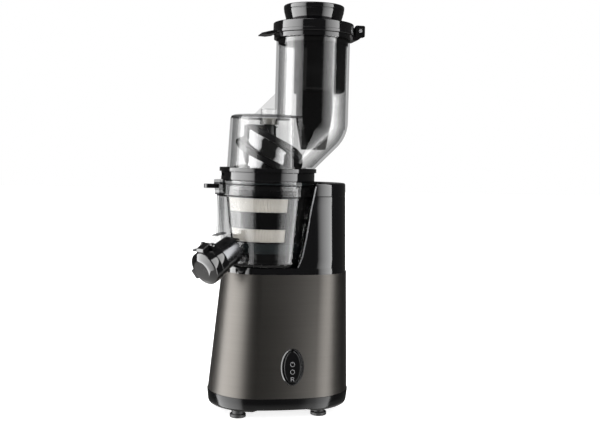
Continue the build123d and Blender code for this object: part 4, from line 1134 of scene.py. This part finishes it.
def makeRoom(look):
    # white where the camera looks past the juicer, dim where polished surfaces mirror it
    world = bpy.data.worlds.new("studio")
    bpy.context.scene.world = world
    world.use_nodes = True
    tree = world.node_tree
    tree.nodes.clear()
    rays = tree.nodes.new("ShaderNodeLightPath")
    camera, through, glossy = (
        Wire(tree, rays.outputs[kind]) for kind in ("Is Camera Ray", "Is Transmission Ray", "Is Glossy Ray")
    )
    white = nodeOf(tree, "Background", None, (1, 1, 1), 1.0)
    direction = nodeOf(tree, "TexCoord", None, output="Generated")
    heading = nodeOf(tree, "SeparateXYZ", None, direction, output="Z")
    below = (heading * -1).ramp(look["belowFrom"], look["belowTo"], look["mirrored"], look["mirroredBelow"])
    dim = nodeOf(tree, "Background", None, (1.0, 0.99, 0.97), below)
    fill = nodeOf(tree, "Background", None, (1, 1, 1), look["fill"])
    unseen = nodeOf(tree, "MixShader", None, glossy, fill, dim)
    sky = nodeOf(tree, "MixShader", None, camera.math("MAXIMUM", through), unseen, white)
    out = tree.nodes.new("ShaderNodeOutputWorld")
    tree.links.new(sky.socket, out.inputs["Surface"])


makeFloor(studioLook)
makeRoom(studioLook)

# turn is measured from the camera's side, positive to its right, tilt upwards from level;
# fade dims a box towards the camera's side, as a power of the distance across it
softboxes = {
    # tall boxes that show as upright bands in whatever is polished
    "leftBand": {
        "turn": -64.0, "distance": 1.6, "size": (2.2, 4.0), "height": 0.4, "radiance": 11.5,
        "mirrored": True, "fade": 0.38,
    },
    "rightBand": {
        "turn": 55.5, "distance": 1.6, "size": (1.3, 4.0), "height": 0.4, "radiance": 8.8,
        "mirrored": True, "fade": 0.62,
    },
    # the light that falls on dull surfaces
    "leftFill": {
        "turn": -60, "distance": 1.8, "size": (1.6, 2.0), "height": 0.4, "radiance": 1.3,
        "mirrored": False,
    },
    "rightFill": {
        "turn": 55, "distance": 1.8, "size": (1.4, 2.0), "height": 0.4, "radiance": 1.0,
        "mirrored": False,
    },
    "overhead": {
        "turn": 0, "distance": 1.8, "size": (2.2, 2.2), "height": 0.2, "radiance": 1.0,
        "mirrored": False, "tilt": 75,
    },
    # and a patch that shows in level tops
    "topBand": {
        "turn": -35, "distance": 1.7, "size": (1.0, 1.0), "height": 0.2, "radiance": 3.0,
        "mirrored": True, "tilt": 62,
    },
}


def makeSoftbox(name, look):
    width, height = look["size"]
    light = bpy.data.lights.new(name, "AREA")
    light.shape = "RECTANGLE"
    light.size = width
    light.size_y = height
    light.energy = look["radiance"] * width * height * math.pi
    lamp = bpy.data.objects.new(name, light)
    angle, lean = math.radians(look["turn"]), math.radians(look.get("tilt", 0.0))
    outwards = towardsCamera * math.cos(angle) + screenRight * math.sin(angle)
    facing = (outwards * math.cos(lean) + upwards * math.sin(lean)).normalized()
    lamp.location = drumAxis + facing * look["distance"] + upwards * look["height"]
    lamp.rotation_euler = facing.to_track_quat("Z", "Y").to_euler()
    lamp.visible_camera = False
    lamp.visible_glossy = look["mirrored"]
    lamp.visible_diffuse = not look["mirrored"]
    if "fade" in look:
        fadeAcross(lamp, angle, width, look["fade"])
    bpy.context.collection.objects.link(lamp)


def fadeAcross(lamp, angle, width, fade):
    # 0 at the box's edge nearest the camera, 1 at the far edge, raised to the power of fade
    aside = screenRight * math.cos(angle) - towardsCamera * math.sin(angle)
    outwards = aside * math.copysign(1.0, angle) / width
    lamp.data.use_nodes = True
    tree = lamp.data.node_tree
    tree.nodes.clear()
    spot = nodeOf(tree, "NewGeometry", None, output="Position")
    across = nodeOf(
        tree, "VectorMath", {"operation": "DOT_PRODUCT"}, spot, tuple(outwards), output="Value",
    )
    share = (across - (outwards.dot(lamp.location) - 0.5)).math("MAXIMUM", 0.0) ** fade
    lit = nodeOf(tree, "Emission", None, (1, 1, 1), share)
    out = tree.nodes.new("ShaderNodeOutputLight")
    tree.links.new(lit.socket, out.inputs["Surface"])


for boxName, boxLook in softboxes.items():
    makeSoftbox(boxName, boxLook)

print("camera")
cameraLook = {
    "lens": 52.8,
    "sensor": 36.0,
    "shiftUp": -0.0888,
    "roll": 1.5,
    # metres from the drum's axis at the table
    "back": 0.949,
    "right": 0.0341,
    "up": 0.2683,
}


def placeCamera(look):
    data = bpy.data.cameras.new("view")
    data.lens = look["lens"]
    data.sensor_width = look["sensor"]
    data.shift_y = look["shiftUp"]
    data.clip_start = 0.05
    data.dof.use_dof = False
    camera = bpy.data.objects.new("view", data)
    roll = math.radians(look["roll"])
    right = screenRight * math.cos(roll) + upwards * math.sin(roll)
    up = upwards * math.cos(roll) - screenRight * math.sin(roll)
    spot = drumAxis + towardsCamera * look["back"] + screenRight * look["right"] + upwards * look["up"]
    camera.matrix_world = axesAt(right, up, towardsCamera, spot)
    bpy.context.collection.objects.link(camera)
    bpy.context.scene.camera = camera


placeCamera(cameraLook)
bpy.context.scene.view_settings.view_transform = "Standard"
